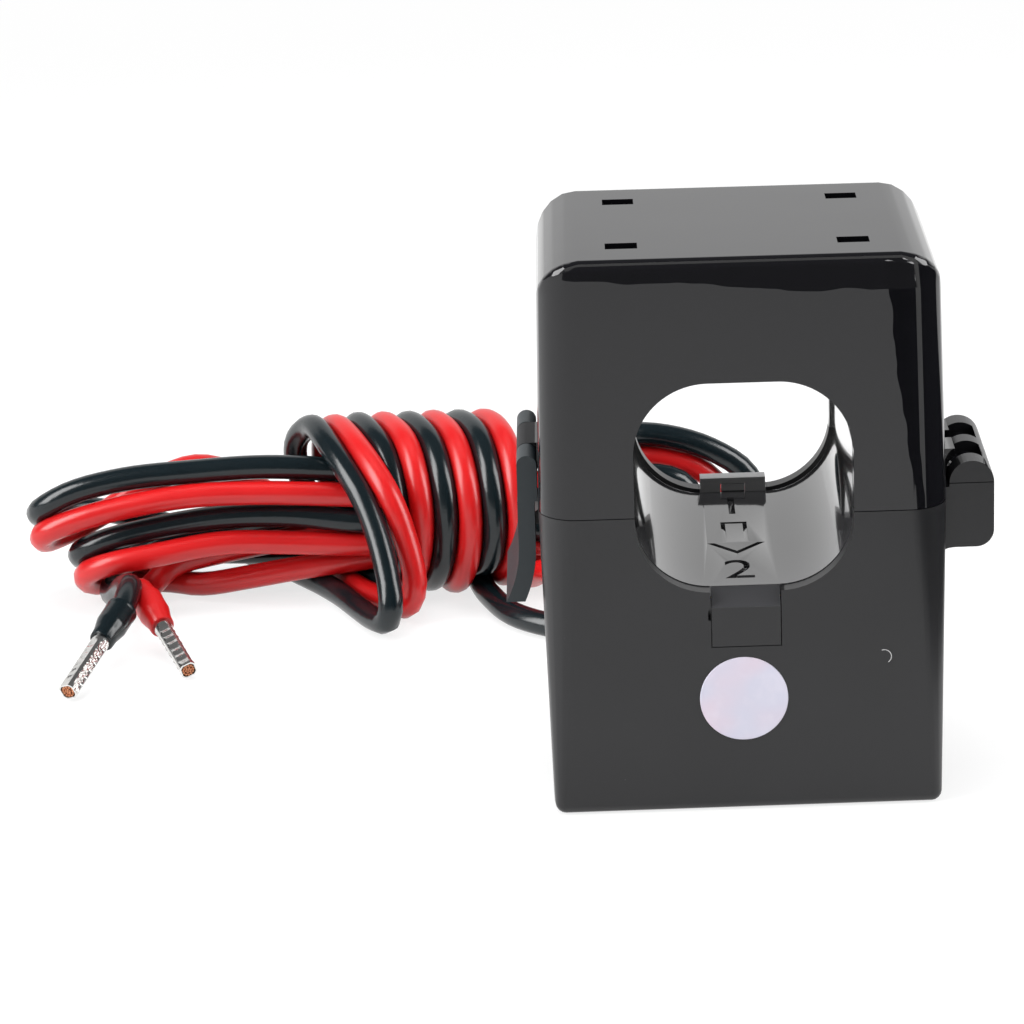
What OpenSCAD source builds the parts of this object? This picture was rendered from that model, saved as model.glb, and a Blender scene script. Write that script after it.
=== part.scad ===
// Split-core current transformer: a lower half that stands on its flat base, an
// upper half that opens on a hinge at the right, a swinging latch at the left,
// and a red and a black secondary lead tied in a hank behind it.
// Millimetres. +X is right, +Y is away from the front, +Z is up.
// The origin is the centre of the flat base.

/* [Body] */
// Width at the joint between the halves
body_w = 45; // [44:0.5:50]
// Depth from the front face to the back face
body_d = 32; // [31:0.5:38]
// Height of the lower half
lower_h = 34.8; // [33:0.2:37]
// Height of the upper half
upper_h = 29; // [28:0.1:32]
// Draft of the side walls in degrees
draft = 1.1; // [0:0.1:2]
// Radius of the upright edges
edge_r = 4.3; // [2.5:0.1:5]
// Radius of the two top corners seen from the front
top_corner_r = 4.6; // [3:0.1:7]
// Radius of the two base corners seen from the front
base_corner_r = 1.3; // [1.2:0.1:3]
// Fillet round the top face and round the base
rim_r = 1.1; // [0.6:0.1:1.2]
// Wall of both housings
wall = 1.8; // [1.4:0.1:2]
// Gap between the closed halves
joint_gap = 0.1; // [0.05:0.05:0.2]

/* [Window] */
// Width of the conductor window
window_w = 24; // [20:0.5:25]
// Height of the conductor window
window_h = 24; // [22:0.5:25]
// Corner radius of the window
window_r = 8.2; // [5:0.1:10]
// Height of the window floor above the base
sill_h = 26; // [25:0.5:28]
// Thickness of the window liners
liner_t = 1.2; // [0.8:0.1:1.4]
// Thickness of the liner plates at the joint
plate_t = 1.3; // [1:0.1:1.6]
// Rise of the window floor from the front to the back
floor_rise = 1.5; // [0.5:0.1:1.7]
// Taper of the other window walls from the front to the back
side_taper = 0.3; // [0:0.1:0.6]
// Height of the back rim over the liner surface
rim_lip = 0.3; // [0.2:0.1:0.6]
// Clearance round each liner
liner_gap = 0.1; // [0.05:0.05:0.2]

/* [Liner tongue and key] */
// Width of the tongue on the front
tongue_w = 7.6; // [6:0.2:10]
// Drop of the tongue below the window floor
tongue_drop = 6.4; // [5:0.1:9]
// Thickness of the tongue
tongue_t = 1.2; // [0.8:0.1:1.4]
// Chamfer where the tongue turns down
tongue_chamfer = 1.8; // [1:0.1:2]
// Width of the raised tab on the back rim
sill_tab_w = 7.6; // [6:0.2:10]
// Height of the raised tab above the window floor
sill_tab_h = 3.1; // [2.7:0.1:3.6]
// Width of the liner key in the raised tab
key_w = 2.7; // [2:0.1:4]
// Height of the liner key above the floor at its back end
key_h = 0.8; // [0.5:0.1:1.2]
// Setback of the liner key from the back face
key_setback = 0.6; // [0.2:0.1:1]

/* [Top slots] */
// Length of each slot in the top face
slot_w = 3.5; // [3:0.1:5]
// Width of each slot in the top face
slot_d = 2.4; // [1.8:0.1:2.6]
// Distance of the slots from the middle, sideways
slot_x = 12.6; // [11:0.1:13]
// Distance of the slots from the middle, front to back
slot_y = 9.5; // [9.2:0.1:10.5]
// Clearance round each liner post in its slot
post_gap = 0.3; // [0.2:0.05:0.5]
// Depth of the post ends below the top face
post_sink = 1.1; // [0.5:0.1:1.5]

/* [Hinge] */
// Distance of the hinge axis from the joint edge of the body
hinge_out = 3.2; // [3.1:0.1:4]
// Height of the hinge axis above the joint
hinge_up = 0.5; // [0.2:0.1:0.6]
// Radius of the hinge knuckles
knuckle_r = 2.5; // [2.3:0.05:2.6]
// Width of the whole hinge
hinge_w = 17; // [15:0.2:20]
// Width of each outer knuckle
knuckle_w = 2.9; // [2:0.1:3.2]
// Width of the middle knuckle
mid_knuckle_w = 2.4; // [2:0.1:3.5]
// Drop of the hinge block below its axis
hinge_drop = 7.6; // [6:0.1:10]
// Reach of the flared foot where the block meets the side wall
block_foot = 1.6; // [0.5:0.1:2.5]
// Radius of the eye on each lid lug
lug_r = 1.35; // [1.25:0.05:1.45]
// Half thickness of each lug's neck above the axis
lug_neck = 1.0; // [0.8:0.05:1.1]
// Diameter of the hinge pin
hinge_pin_d = 1.5; // [1.2:0.1:1.6]
// Wall left over the front end of each pin
pin_skin = 1.2; // [0.8:0.1:1.6]
// Clearance between lugs and knuckles, side to side and round
lug_gap = 0.15; // [0.1:0.05:0.25]

/* [Latch] */
// Width of the latch, front to back
latch_w = 17; // [14:0.2:20]
// Width of the boss between the latch arms
boss_w = 7.6; // [6:0.2:9]
// Distance of the latch axis from the joint edge of the body
latch_out = 1.2; // [1.2:0.05:1.6]
// Height of the latch axis above the joint
latch_up = 4.1; // [3.5:0.1:5]
// Radius of the latch arms and of the boss
latch_r = 1.1; // [1:0.05:1.1]
// Thickness of the latch strip
strip_t = 1.9; // [1.5:0.1:2]
// Length of the straight part of the latch below its axis
latch_straight = 9.6; // [8:0.1:12]
// Height of the flared tail under the straight part
latch_tail_h = 6.4; // [4:0.1:8]
// Reach of the tail's end out from the strip
latch_tail_out = 1.6; // [0.5:0.1:2.5]
// Diameter of the latch pin
latch_pin_d = 1.1; // [0.8:0.1:1.3]
// Width of the catch on the lower half
catch_w = 7.6; // [6:0.2:9]
// Height of the catch
catch_h = 2.6; // [2:0.1:2.9]
// Reach of the catch from the side wall
catch_out = 1.3; // [1:0.1:1.6]
// Distance of the top of the catch below the joint
catch_down = 1.8; // [1.4:0.1:2.2]
// Clearance between latch and boss, and round the catch
latch_gap = 0.2; // [0.1:0.05:0.3]

/* [Core and coil] */
// Depth of both core halves
core_d = 14; // [10:0.5:16]
// Clearance between a core and what holds it
core_gap = 0.25; // [0.15:0.05:0.3]
// Inner corner radius of the core halves
core_bend_r = 1.5; // [1:0.5:3]
// Wall of the bobbin
bobbin_t = 1.0; // [0.8:0.1:1.2]
// Height of the coil over the bobbin tube
coil_build = 3.8; // [2.5:0.1:4]
// Thickness of the tape round the coil
tape_t = 0.15; // [0.1:0.05:0.25]
// Thickness of the leaf spring over the upper core
spring_t = 0.4; // [0.3:0.1:0.6]
// Length of the leaf spring
spring_l = 18; // [14:1:22]
// Width of the leaf spring
spring_w = 8; // [5:1:12]

/* [Label] */
// Diameter of the round label
label_d = 9.8; // [8:0.1:12]
// Thickness of the round label
label_t = 0.12; // [0.1:0.02:0.3]
// Height of the label's centre above the base
label_z = 13.4; // [10:0.1:14]

/* [Leads] */
// Outer diameter of each lead
cord_d = 3.1; // [2.8:0.1:3.4]
// Distance of each lead exit from the middle
exit_x = 3.5; // [3:0.1:5]
// Height of the lead exits above the base
exit_z = 3.8; // [3.75:0.05:4]
// Wall of the collar round each exit
exit_collar_t = 1.1; // [0.8:0.1:1.4]
// Length of the collar round each exit
exit_collar_l = 1.2; // [0.8:0.2:3]
// Clearance round each lead in its exit
exit_gap = 0.1; // [0.05:0.05:0.2]
// Length of each soldered splice inside the lower half
splice_l = 10; // [6:1:12]
// Length of a ferrule collar
collar_l = 6.4; // [5.6:0.1:8]
// Diameter of a ferrule collar at the cord
collar_d = 4.0; // [3.8:0.1:4.8]
// Length of the wide part of a ferrule collar
collar_wide_l = 3.6; // [3.2:0.1:4]
// Length of the taper from the wide part to the neck
collar_taper_l = 1.3; // [0.8:0.1:1.5]
// Wall of the neck of a ferrule collar
collar_neck_t = 0.45; // [0.4:0.05:0.6]
// Diameter of a ferrule tube
ferrule_d = 2.3; // [2:0.1:2.6]
// Length of a ferrule tube in front of its collar
ferrule_l = 10; // [6:1:12]
// Wall of a ferrule tube
ferrule_t = 0.2; // [0.15:0.05:0.3]
// Flare of a ferrule tube inside its collar
ferrule_flare = 0.25; // [0.1:0.05:0.4]

/* [Hidden] */
$fn = 64;

// Clearances of the pins: held pins sit close, turning pins run free
held_gap = 0.02;
running_gap = 0.06;
// A cut runs this far past the faces it opens, and joined outlines lap this far
past = 1;
lap = 0.01;

// Levels and half sizes of the body
z_joint = lower_h;
z_lid = lower_h + joint_gap;
z_top = z_lid + upper_h;
half_w = body_w / 2;
half_d = body_d / 2;
z_crown = sill_h + window_h;
z_window = (sill_h + z_crown) / 2;
// Height of the key's top above the front edge of the window floor
key_top = floor_rise + key_h;
cavity_half_w = half_w - max(lower_h, upper_h) * tan(draft) - wall;
cavity_half_d = half_d - wall;
cavity_r = edge_r - wall;

// Hinge places and widths
hinge_x = half_w + hinge_out;
hinge_z = z_joint + hinge_up;
pocket_r = lug_r + lug_gap;
pocket_w = (hinge_w - 2 * knuckle_w - mid_knuckle_w) / 2;
pocket_y = (mid_knuckle_w + pocket_w) / 2;
block_corner_r = 2;
foot_drop = 0.6;
foot_root = 0.5;
gusset_h = 3;
gusset_reach = 1.6;
gusset_clear = 0.2;

// Latch places and widths
latch_x = -(half_w + latch_out);
latch_z = z_joint + latch_up;
strip_step = 0.05;
strip_out_x = latch_x - latch_r - strip_step;
strip_in_x = strip_out_x + strip_t;
arm_bottom_z = z_joint - joint_gap;
bridge_top_z = latch_z - latch_r - latch_gap;
latch_bend_z = latch_z - latch_straight;
latch_bend_r = (pow(latch_tail_h, 2) + pow(latch_tail_out, 2)) / (2 * latch_tail_out);
catch_top_z = z_joint - catch_down;
catch_bottom_z = catch_top_z - catch_h;
latch_window_over = 0.5;

// Core and coil: both fill the chamber between the liner and the side wall
core_in = window_w / 2 + liner_t + core_gap;
core_out = cavity_half_w - core_gap;
core_t = core_out - core_in;
// The coil sits midway between the leads under it and the liner over it
coil_z = (exit_z + cord_d / 2 + sill_h - liner_t) / 2;
yoke_z = coil_z - core_t / 2;
tube_gap = 0.15;
tube_half_h = core_t / 2 + tube_gap + bobbin_t;
tube_half_d = core_d / 2 + tube_gap + bobbin_t;
bobbin_half_w = core_in - core_bend_r - core_gap;
upper_yoke_z = z_crown + liner_t + core_gap;
spring_room = z_top - wall - (upper_yoke_z + core_t);
spring_gap = 0.1;
spring_rise = spring_room - spring_gap;
spring_r = (pow(spring_l / 2, 2) + pow(spring_rise, 2)) / (2 * spring_rise);

// Leads: where they leave the splices, and the hank behind the body
lead_start_y = 5;
hank_y = 61.5;
hank_left = -88;
hank_right = 7;
hank_h = 20.4;
hank_t = 14;
wrap_left = -53;
wrap_right = -27;
wrap_d = 23.2;

// Routes of the leads between the body and the hank, chosen by hand
red_run = [
    [-exit_x, lead_start_y, exit_z], [-exit_x, 11, exit_z], [-exit_x, 18, exit_z],
    [-4.6, 25, 3.8], [-8, 32, 4.4], [-14, 39, 6], [-19.5, 44, 7], [-23.2, 48.8, 6],
    [-25.6, 53.5, 4], [-27.4, 58, 2.4]
];
black_run = [
    [exit_x, lead_start_y, exit_z], [exit_x, 11, exit_z], [exit_x, 18, exit_z],
    [2.2, 24, 3], [-1.4, 31, 1.7], [-7, 35.6, 1.6], [-14, 38, 1.6], [-21, 40, 1.6],
    [-26.4, 44.6, 1.6], [-29.8, 52, 1.6], [-32, 58, 1.6]
];
// Where each ferrule collar starts and which way it points, in degrees
red_ferrule_at = [-70.9, 45, 2.1];
red_ferrule_turn = -70;
black_ferrule_at = [-77.7, 41.3, 2.1];
black_ferrule_turn = -96;
// How far each lead runs into its collar
collar_grip = 3;
// Routes of the leads between the hank and the ferrules, chosen by hand
red_end = [[-73.4, 57, 4.2], [-72.6, 49.8, 2.6], red_ferrule_at];
black_end = [[-78.6, 57, 4], [-78.3, 48.5, 2.4], black_ferrule_at];

function half_w_at(z) = half_w - abs(z - z_joint) * tan(draft);
function heading(turn) = [cos(turn), sin(turn), 0];
function unit(v) = v / norm(v);

// Direction of a route at one of its points, along the bend
function route_dir(route, i) =
    unit(route[min(i + 1, len(route) - 1)] - route[max(i - 1, 0)]);

// Corners of the ring round a route point, square to the route
function ring(centre, dir, r, sides) =
    let (side = unit(cross(dir, [0, 0, 1])), up = cross(side, dir))
    [for (k = [0:sides - 1]) centre + r * (cos(360 * k / sides) * side + sin(360 * k / sides) * up)];

// A round tube along a route, one ring at each of its points
module route_tube(route, d) {
    sides = 8;
    last = len(route) - 1;
    rings = [for (i = [0:last]) ring(route[i], route_dir(route, i), d / 2, sides)];
    points = [for (r = rings) each r];
    lower = [for (i = [0:last - 1], k = [0:sides - 1])
        [i * sides + k, (i + 1) * sides + k, i * sides + (k + 1) % sides]];
    upper = [for (i = [0:last - 1], k = [0:sides - 1])
        [(i + 1) * sides + k, (i + 1) * sides + (k + 1) % sides, i * sides + (k + 1) % sides]];
    start = [[for (k = [0:sides - 1]) k]];
    end = [[for (k = [sides - 1:-1:0]) last * sides + k]];
    polyhedron(points, concat(lower, upper, start, end));
}

// Extrudes an X-Z outline from the front value of Y to the back value
module along_y(y_front, y_back) {
    translate([0, y_back, 0]) rotate([90, 0, 0]) linear_extrude(y_back - y_front) children();
}

// Rectangle with round corners, centred
module rounded_rect(w, h, r) {
    square([w - 2 * r, h], center = true);
    square([w, h - 2 * r], center = true);
    for (sx = [-1, 1], sy = [-1, 1])
        translate([sx * (w / 2 - r), sy * (h / 2 - r)]) circle(r);
}

// Outline of the window in X and Z, larger by grow on every side
module window_outline(grow = 0) {
    translate([0, z_window])
        rounded_rect(window_w + 2 * grow, window_h + 2 * grow, window_r + grow);
}

// Outline of the window at the back face, smaller by shrink on every side
module back_outline(shrink = 0) {
    translate([0, z_window + (floor_rise - side_taper) / 2])
        rounded_rect(
            window_w - 2 * (side_taper + shrink),
            window_h - floor_rise - side_taper - 2 * shrink, window_r);
}

// The opening through both liners, which narrows towards the back
module throat() {
    hull() {
        along_y(-half_d - lap, -half_d) window_outline();
        along_y(half_d, half_d + lap) back_outline();
    }
}

// Upright U with round lower corners, from z_a up to z_b
module u_outline(w, z_a, z_b, r) {
    translate([-w / 2, z_a + r]) square([w, z_b - z_a - r]);
    translate([-w / 2 + r, z_a]) square([w - 2 * r, r + lap]);
    for (sx = [-1, 1]) translate([sx * (w / 2 - r), z_a + r]) circle(r);
}

// Solid outer form of one half: full width at the joint, drafted towards its end
// face, with round upright edges, round corners and a fillet round the end face
module half_form(z_start, z_end, corner_r) {
    way = sign(z_end - z_start);
    end_w = half_w_at(z_end);
    z_corner = z_end - way * corner_r;
    land = 0.2;
    steps = 5;
    hull() {
        for (sx = [-1, 1], sy = [-1, 1]) {
            translate([sx * (half_w - edge_r), sy * (half_d - edge_r), z_start + way * land / 2])
                cylinder(r = edge_r, h = land, center = true, $fn = 32);
            translate([sx * (end_w - edge_r), sy * (half_d - edge_r), z_corner])
                cylinder(r = edge_r, h = land, center = true, $fn = 32);
            for (t = [0:90 / steps:90])
                translate([
                    sx * (end_w - corner_r + (corner_r - rim_r) * sin(t)),
                    sy * (half_d - rim_r - (edge_r - rim_r) * (1 - cos(t))),
                    z_corner + way * (corner_r - rim_r) * cos(t)
                ]) rotate([90, 0, 0]) sphere(rim_r, $fn = 16);
        }
        translate([0, 0, z_end - way * land / 2])
            cube([2 * (end_w - corner_r), 2 * (half_d - rim_r), land], center = true);
        translate([0, 0, z_end - way * (rim_r + land / 2)])
            cube([2 * (end_w - corner_r), body_d, land], center = true);
    }
}

// Room inside both housings, from z_a up to z_b
module cavity(z_a, z_b, shrink = 0) {
    translate([0, 0, z_a]) linear_extrude(z_b - z_a)
        rounded_rect(2 * (cavity_half_w - shrink), 2 * (cavity_half_d - shrink), cavity_r);
}

// Cuts the window through the front wall, and smaller through the back wall
module window_cuts() {
    along_y(-half_d - past, 0) window_outline();
    along_y(0, half_d + past) back_outline(rim_lip);
}

// Both core legs pass through a liner plate here
module pole_windows(z_a, z_b) {
    for (sx = [-1, 1])
        translate([sx * (core_in + core_out) / 2, 0, (z_a + z_b) / 2])
            cube([core_t + core_gap, core_d + 2 * core_gap, z_b - z_a], center = true);
}

// Block with three knuckles on the right side wall, with a pocket for each lug
module hinge_block() {
    block_z = hinge_z - hinge_drop;
    inner_x = half_w_at(block_z) - wall / 2;
    outer_x = hinge_x + knuckle_r;
    difference() {
        along_y(-hinge_w / 2, hinge_w / 2) {
            translate([inner_x, block_z + block_corner_r])
                square([outer_x - inner_x, z_joint - block_z - block_corner_r]);
            translate([inner_x, block_z])
                square([outer_x - inner_x - block_corner_r, block_corner_r + lap]);
            translate([outer_x - block_corner_r, block_z + block_corner_r]) circle(block_corner_r);
            translate([half_w_at(block_z), block_z]) polygon(concat(
                [[-foot_root, -foot_drop]],
                [for (t = [0:15:90]) [block_foot * (1 - cos(t)), foot_drop * (sin(t) - 1)]],
                [[block_foot, lap], [-foot_root, lap]]
            ));
            translate([hinge_x - knuckle_r, z_joint - lap])
                square([2 * knuckle_r, hinge_up + lap]);
            translate([hinge_x, hinge_z]) circle(knuckle_r);
        }
        for (sy = [-1, 1])
            along_y(sy * pocket_y - pocket_w / 2, sy * pocket_y + pocket_w / 2) {
                translate([hinge_x, hinge_z]) circle(pocket_r);
                translate([half_w, z_joint])
                    square([hinge_x - half_w, hinge_up + knuckle_r + past]);
                translate([hinge_x - lap, hinge_z])
                    square([pocket_r + lap, knuckle_r + past]);
            }
    }
}

// Wedge on the left side wall that the latch window drops over
module latch_catch() {
    root_x = -half_w_at(catch_bottom_z) + wall / 2;
    tip_x = -half_w_at(catch_top_z) - catch_out;
    along_y(-catch_w / 2, catch_w / 2)
        polygon([
            [root_x, catch_bottom_z], [tip_x, catch_bottom_z],
            [tip_x, catch_bottom_z + catch_h / 3], [root_x, catch_top_z]
        ]);
}

module lower_housing() {
    color([0.16, 0.16, 0.17])
    difference() {
        union() {
            difference() {
                half_form(z_joint, 0, base_corner_r);
                cavity(wall, z_joint + past);
                window_cuts();
            }
            translate([-sill_tab_w / 2, cavity_half_d, sill_h - liner_t])
                cube([sill_tab_w, wall, liner_t + sill_tab_h]);
            hinge_block();
            latch_catch();
            for (sx = [-1, 1])
                translate([sx * exit_x, half_d + exit_collar_l, exit_z]) rotate([90, 0, 0])
                    cylinder(d = cord_d + 2 * (exit_gap + exit_collar_t), h = exit_collar_l + wall / 2);
        }
        // Seat of the tongue, over the window edge and down the front
        translate([-tongue_w / 2 - liner_gap, -half_d - past, sill_h - tongue_drop - liner_gap])
            cube([tongue_w + 2 * liner_gap, past + tongue_t + liner_gap, tongue_drop + past]);
        translate([-tongue_w / 2 - liner_gap, -half_d - past, sill_h - liner_t - liner_gap])
            cube([tongue_w + 2 * liner_gap, past + wall + liner_gap, liner_t + past]);
        // Notch for the liner key
        translate([-key_w / 2 - liner_gap, cavity_half_d - past, sill_h - liner_t - liner_gap])
            cube([key_w + 2 * liner_gap, wall + 2 * past, key_top + liner_t + 2 * liner_gap]);
        translate([hinge_x, hinge_w / 2 + past, hinge_z]) rotate([90, 0, 0])
            cylinder(d = hinge_pin_d + 2 * held_gap, h = hinge_w + past - pin_skin);
        for (sx = [-1, 1])
            translate([sx * exit_x, half_d + exit_collar_l + past, exit_z]) rotate([90, 0, 0])
                cylinder(d = cord_d + 2 * exit_gap, h = exit_collar_l + wall + 2 * past);
    }
}

// Liner shell round the window between two levels, with its plate at the joint
module liner_shell(z_a, z_b, plate_z) {
    liner_half_d = cavity_half_d - liner_gap;
    difference() {
        union() {
            intersection() {
                along_y(-liner_half_d, liner_half_d) window_outline(liner_t);
                translate([-half_w, -half_d, z_a]) cube([body_w, body_d, z_b - z_a]);
            }
            cavity(plate_z, plate_z + plate_t, liner_gap);
        }
        throat();
        pole_windows(plate_z - past, plate_z + plate_t + past);
    }
}

module lower_liner() {
    color([0.30, 0.30, 0.32]) {
        liner_shell(sill_h - liner_t, z_joint, z_joint - plate_t);
        // Tongue: over the front wall, chamfered, then down the front face
        translate([-tongue_w / 2, 0, 0]) rotate([90, 0, 90]) linear_extrude(tongue_w)
            polygon([
                [-cavity_half_d + liner_gap, sill_h], [-half_d + tongue_chamfer, sill_h],
                [-half_d, sill_h - tongue_chamfer], [-half_d, sill_h - tongue_drop],
                [-half_d + tongue_t, sill_h - tongue_drop], [-half_d + tongue_t, sill_h - liner_t],
                [-cavity_half_d + liner_gap, sill_h - liner_t]
            ]);
        translate([-key_w / 2, cavity_half_d - liner_gap - wall, sill_h - liner_t])
            cube([key_w, 2 * wall + liner_gap - key_setback, liner_t]);
        translate([-key_w / 2, cavity_half_d + liner_gap, sill_h - liner_t])
            cube([key_w, wall - liner_gap - key_setback, liner_t + key_top]);
    }
}

module lower_core() {
    color([0.55, 0.57, 0.60])
    along_y(-core_d / 2, core_d / 2) difference() {
        u_outline(2 * core_out, yoke_z, z_joint, core_t + core_bend_r);
        u_outline(2 * core_in, yoke_z + core_t, z_joint + past, core_bend_r);
    }
}

// Hollow rectangular sleeve round the lower yoke, between two sideways limits
module yoke_sleeve(half_len, half_h, half_depth, inner_h, inner_d) {
    difference() {
        translate([0, 0, coil_z])
            cube([2 * half_len, 2 * half_depth, 2 * half_h], center = true);
        translate([0, 0, coil_z])
            cube([2 * half_len + 2 * past, 2 * inner_d, 2 * inner_h], center = true);
    }
}

module bobbin() {
    hole_h = core_t / 2 + tube_gap;
    hole_d = core_d / 2 + tube_gap;
    flange_h = tube_half_h + coil_build + tape_t;
    flange_d = tube_half_d + coil_build + tape_t;
    color([0.85, 0.84, 0.78])
    difference() {
        union() {
            translate([0, 0, coil_z])
                cube([2 * bobbin_half_w, 2 * tube_half_d, 2 * tube_half_h], center = true);
            for (sx = [-1, 1])
                translate([sx * (bobbin_half_w - bobbin_t / 2), 0, coil_z])
                    cube([bobbin_t, 2 * flange_d, 2 * flange_h], center = true);
        }
        translate([0, 0, coil_z])
            cube([2 * bobbin_half_w + 2 * past, 2 * hole_d, 2 * hole_h], center = true);
    }
}

module secondary_winding() {
    color([0.72, 0.38, 0.16])
    yoke_sleeve(bobbin_half_w - bobbin_t, tube_half_h + coil_build, tube_half_d + coil_build,
        tube_half_h, tube_half_d);
}

module winding_tape() {
    color([0.93, 0.78, 0.20])
    yoke_sleeve(bobbin_half_w - bobbin_t, tube_half_h + coil_build + tape_t,
        tube_half_d + coil_build + tape_t, tube_half_h + coil_build, tube_half_d + coil_build);
}

module hinge_pin() {
    color([0.75, 0.76, 0.78])
    translate([hinge_x, hinge_w / 2, hinge_z]) rotate([90, 0, 0])
        cylinder(d = hinge_pin_d, h = hinge_w - pin_skin - held_gap);
}

module round_label() {
    color([0.88, 0.82, 0.92])
    translate([0, -half_d, label_z]) rotate([90, 0, 0]) cylinder(d = label_d, h = label_t);
}

// One lug of the upper half: an eye on the hinge axis, a neck and a gusset
module lid_lug() {
    root_x = half_w - wall / 2;
    along_y(-(pocket_w / 2 - lug_gap), pocket_w / 2 - lug_gap) {
        translate([hinge_x, hinge_z]) circle(lug_r);
        translate([root_x, z_lid + lug_gap])
            square([hinge_x - root_x, hinge_z + lug_neck - z_lid - lug_gap]);
        difference() {
            translate([root_x, hinge_z]) square([hinge_x - gusset_reach - root_x, gusset_h]);
            translate([hinge_x, hinge_z]) circle(knuckle_r + gusset_clear);
        }
    }
}

module upper_housing() {
    color([0.06, 0.06, 0.07])
    difference() {
        union() {
            difference() {
                half_form(z_lid, z_top, top_corner_r);
                cavity(z_lid - past, z_top - wall);
                window_cuts();
            }
            for (sy = [-1, 1]) translate([0, sy * pocket_y, 0]) lid_lug();
            // Boss that carries the latch
            along_y(-boss_w / 2, boss_w / 2) {
                translate([latch_x, latch_z]) circle(latch_r);
                translate([latch_x, latch_z - latch_r])
                    square([latch_out + wall / 2, 2 * latch_r]);
            }
        }
        for (sx = [-1, 1], sy = [-1, 1])
            translate([sx * slot_x, sy * slot_y, z_top - wall / 2])
                cube([slot_w, slot_d, wall + 2 * past], center = true);
        translate([hinge_x, hinge_w / 2 + past, hinge_z]) rotate([90, 0, 0])
            cylinder(d = hinge_pin_d + 2 * running_gap, h = hinge_w + 2 * past);
        translate([latch_x, latch_w / 2 + past, latch_z]) rotate([90, 0, 0])
            cylinder(d = latch_pin_d + 2 * held_gap, h = latch_w + 2 * past);
    }
}

module upper_liner() {
    post_w = slot_w - 2 * post_gap;
    post_d = slot_d - 2 * post_gap;
    color([0.20, 0.20, 0.21]) {
        liner_shell(z_lid, z_crown + liner_t, z_lid);
        // Four posts from the liner up into the slots of the top face
        difference() {
            for (sx = [-1, 1], sy = [-1, 1])
                translate([sx * slot_x - post_w / 2, sy * slot_y - post_d / 2, z_window])
                    cube([post_w, post_d, z_top - post_sink - z_window]);
            throat();
        }
    }
}

module upper_core() {
    color([0.55, 0.57, 0.60])
    translate([0, 0, z_lid + upper_yoke_z + core_t]) mirror([0, 0, 1])
    along_y(-core_d / 2, core_d / 2) difference() {
        u_outline(2 * core_out, z_lid, upper_yoke_z + core_t, core_t + core_bend_r);
        u_outline(2 * core_in, z_lid + core_t, upper_yoke_z + core_t + past, core_bend_r);
    }
}

module core_spring() {
    color([0.70, 0.71, 0.73])
    intersection() {
        translate([0, spring_w / 2, upper_yoke_z + core_t + spring_rise - spring_r])
            rotate([90, 0, 0]) difference() {
                cylinder(r = spring_r, h = spring_w);
                translate([0, 0, -past]) cylinder(r = spring_r - spring_t, h = spring_w + 2 * past);
            }
        translate([-spring_l / 2, -spring_w, upper_yoke_z + core_t])
            cube([spring_l, 2 * spring_w, spring_room]);
    }
}

// Curved tail of the latch, swung outwards below the strip
module latch_tail() {
    translate([strip_out_x - latch_bend_r, latch_bend_z])
    intersection() {
        difference() {
            circle(latch_bend_r + strip_t, $fn = 128);
            circle(latch_bend_r, $fn = 128);
        }
        translate([0, -latch_tail_h])
            square([latch_bend_r + strip_t + past, latch_tail_h + lap]);
    }
}

module latch_lever() {
    color([0.12, 0.13, 0.14])
    difference() {
        union() {
            along_y(-latch_w / 2, latch_w / 2) {
                translate([latch_x - latch_r, arm_bottom_z])
                    square([2 * latch_r, bridge_top_z - arm_bottom_z]);
                translate([strip_out_x, latch_bend_z])
                    square([strip_t, arm_bottom_z - latch_bend_z + lap]);
                latch_tail();
            }
            for (sy = [-1, 1]) {
                arm_w = (latch_w - boss_w) / 2 - latch_gap;
                arm_y = sy * (latch_w - arm_w) / 2;
                along_y(arm_y - arm_w / 2, arm_y + arm_w / 2) {
                    translate([latch_x, latch_z]) circle(latch_r);
                    translate([latch_x - latch_r, arm_bottom_z])
                        square([2 * latch_r, latch_z - arm_bottom_z]);
                }
            }
        }
        translate([strip_out_x - past, -catch_w / 2 - latch_gap, catch_bottom_z - latch_gap])
            cube([strip_t + 2 * past, catch_w + 2 * latch_gap, catch_h + latch_gap + latch_window_over]);
        translate([latch_x, latch_w / 2 + past, latch_z]) rotate([90, 0, 0])
            cylinder(d = latch_pin_d + 2 * running_gap, h = latch_w + past - pin_skin);
    }
}

module latch_pin() {
    color([0.75, 0.76, 0.78])
    translate([latch_x, latch_w / 2, latch_z]) rotate([90, 0, 0])
        cylinder(d = latch_pin_d, h = latch_w - pin_skin - running_gap);
}

// Insulated solder joint between the coil and one lead
module splice(x) {
    translate([x, lead_start_y, exit_z]) rotate([90, 0, 0]) cylinder(d = cord_d, h = splice_l);
}

module red_splice() {
    color([0.75, 0.10, 0.08]) splice(-exit_x);
}

module black_splice() {
    color([0.08, 0.08, 0.09]) splice(exit_x);
}

module red_lead_run() {
    color([0.85, 0.12, 0.10]) route_tube(red_run, cord_d);
}

module black_lead_run() {
    color([0.06, 0.08, 0.10]) route_tube(black_run, cord_d);
}

// Outer shape of the tied hank: the long loops and the wraps round them
module lead_hank() {
    color([0.55, 0.10, 0.10]) {
        along_y(hank_y - hank_t / 2, hank_y + hank_t / 2) {
            translate([hank_left + hank_h / 2, 0]) square([hank_right - hank_left - hank_h, hank_h]);
            for (x = [hank_left + hank_h / 2, hank_right - hank_h / 2])
                translate([x, hank_h / 2]) circle(hank_h / 2);
        }
        translate([wrap_left, hank_y, wrap_d / 2]) rotate([0, 90, 0])
            cylinder(d = wrap_d, h = wrap_right - wrap_left);
    }
}

// The last stretch of a lead, from the hank into its ferrule collar
module lead_end(route, start, turn) {
    route_tube(concat(route, [start + collar_grip * heading(turn)]), cord_d);
}

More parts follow.
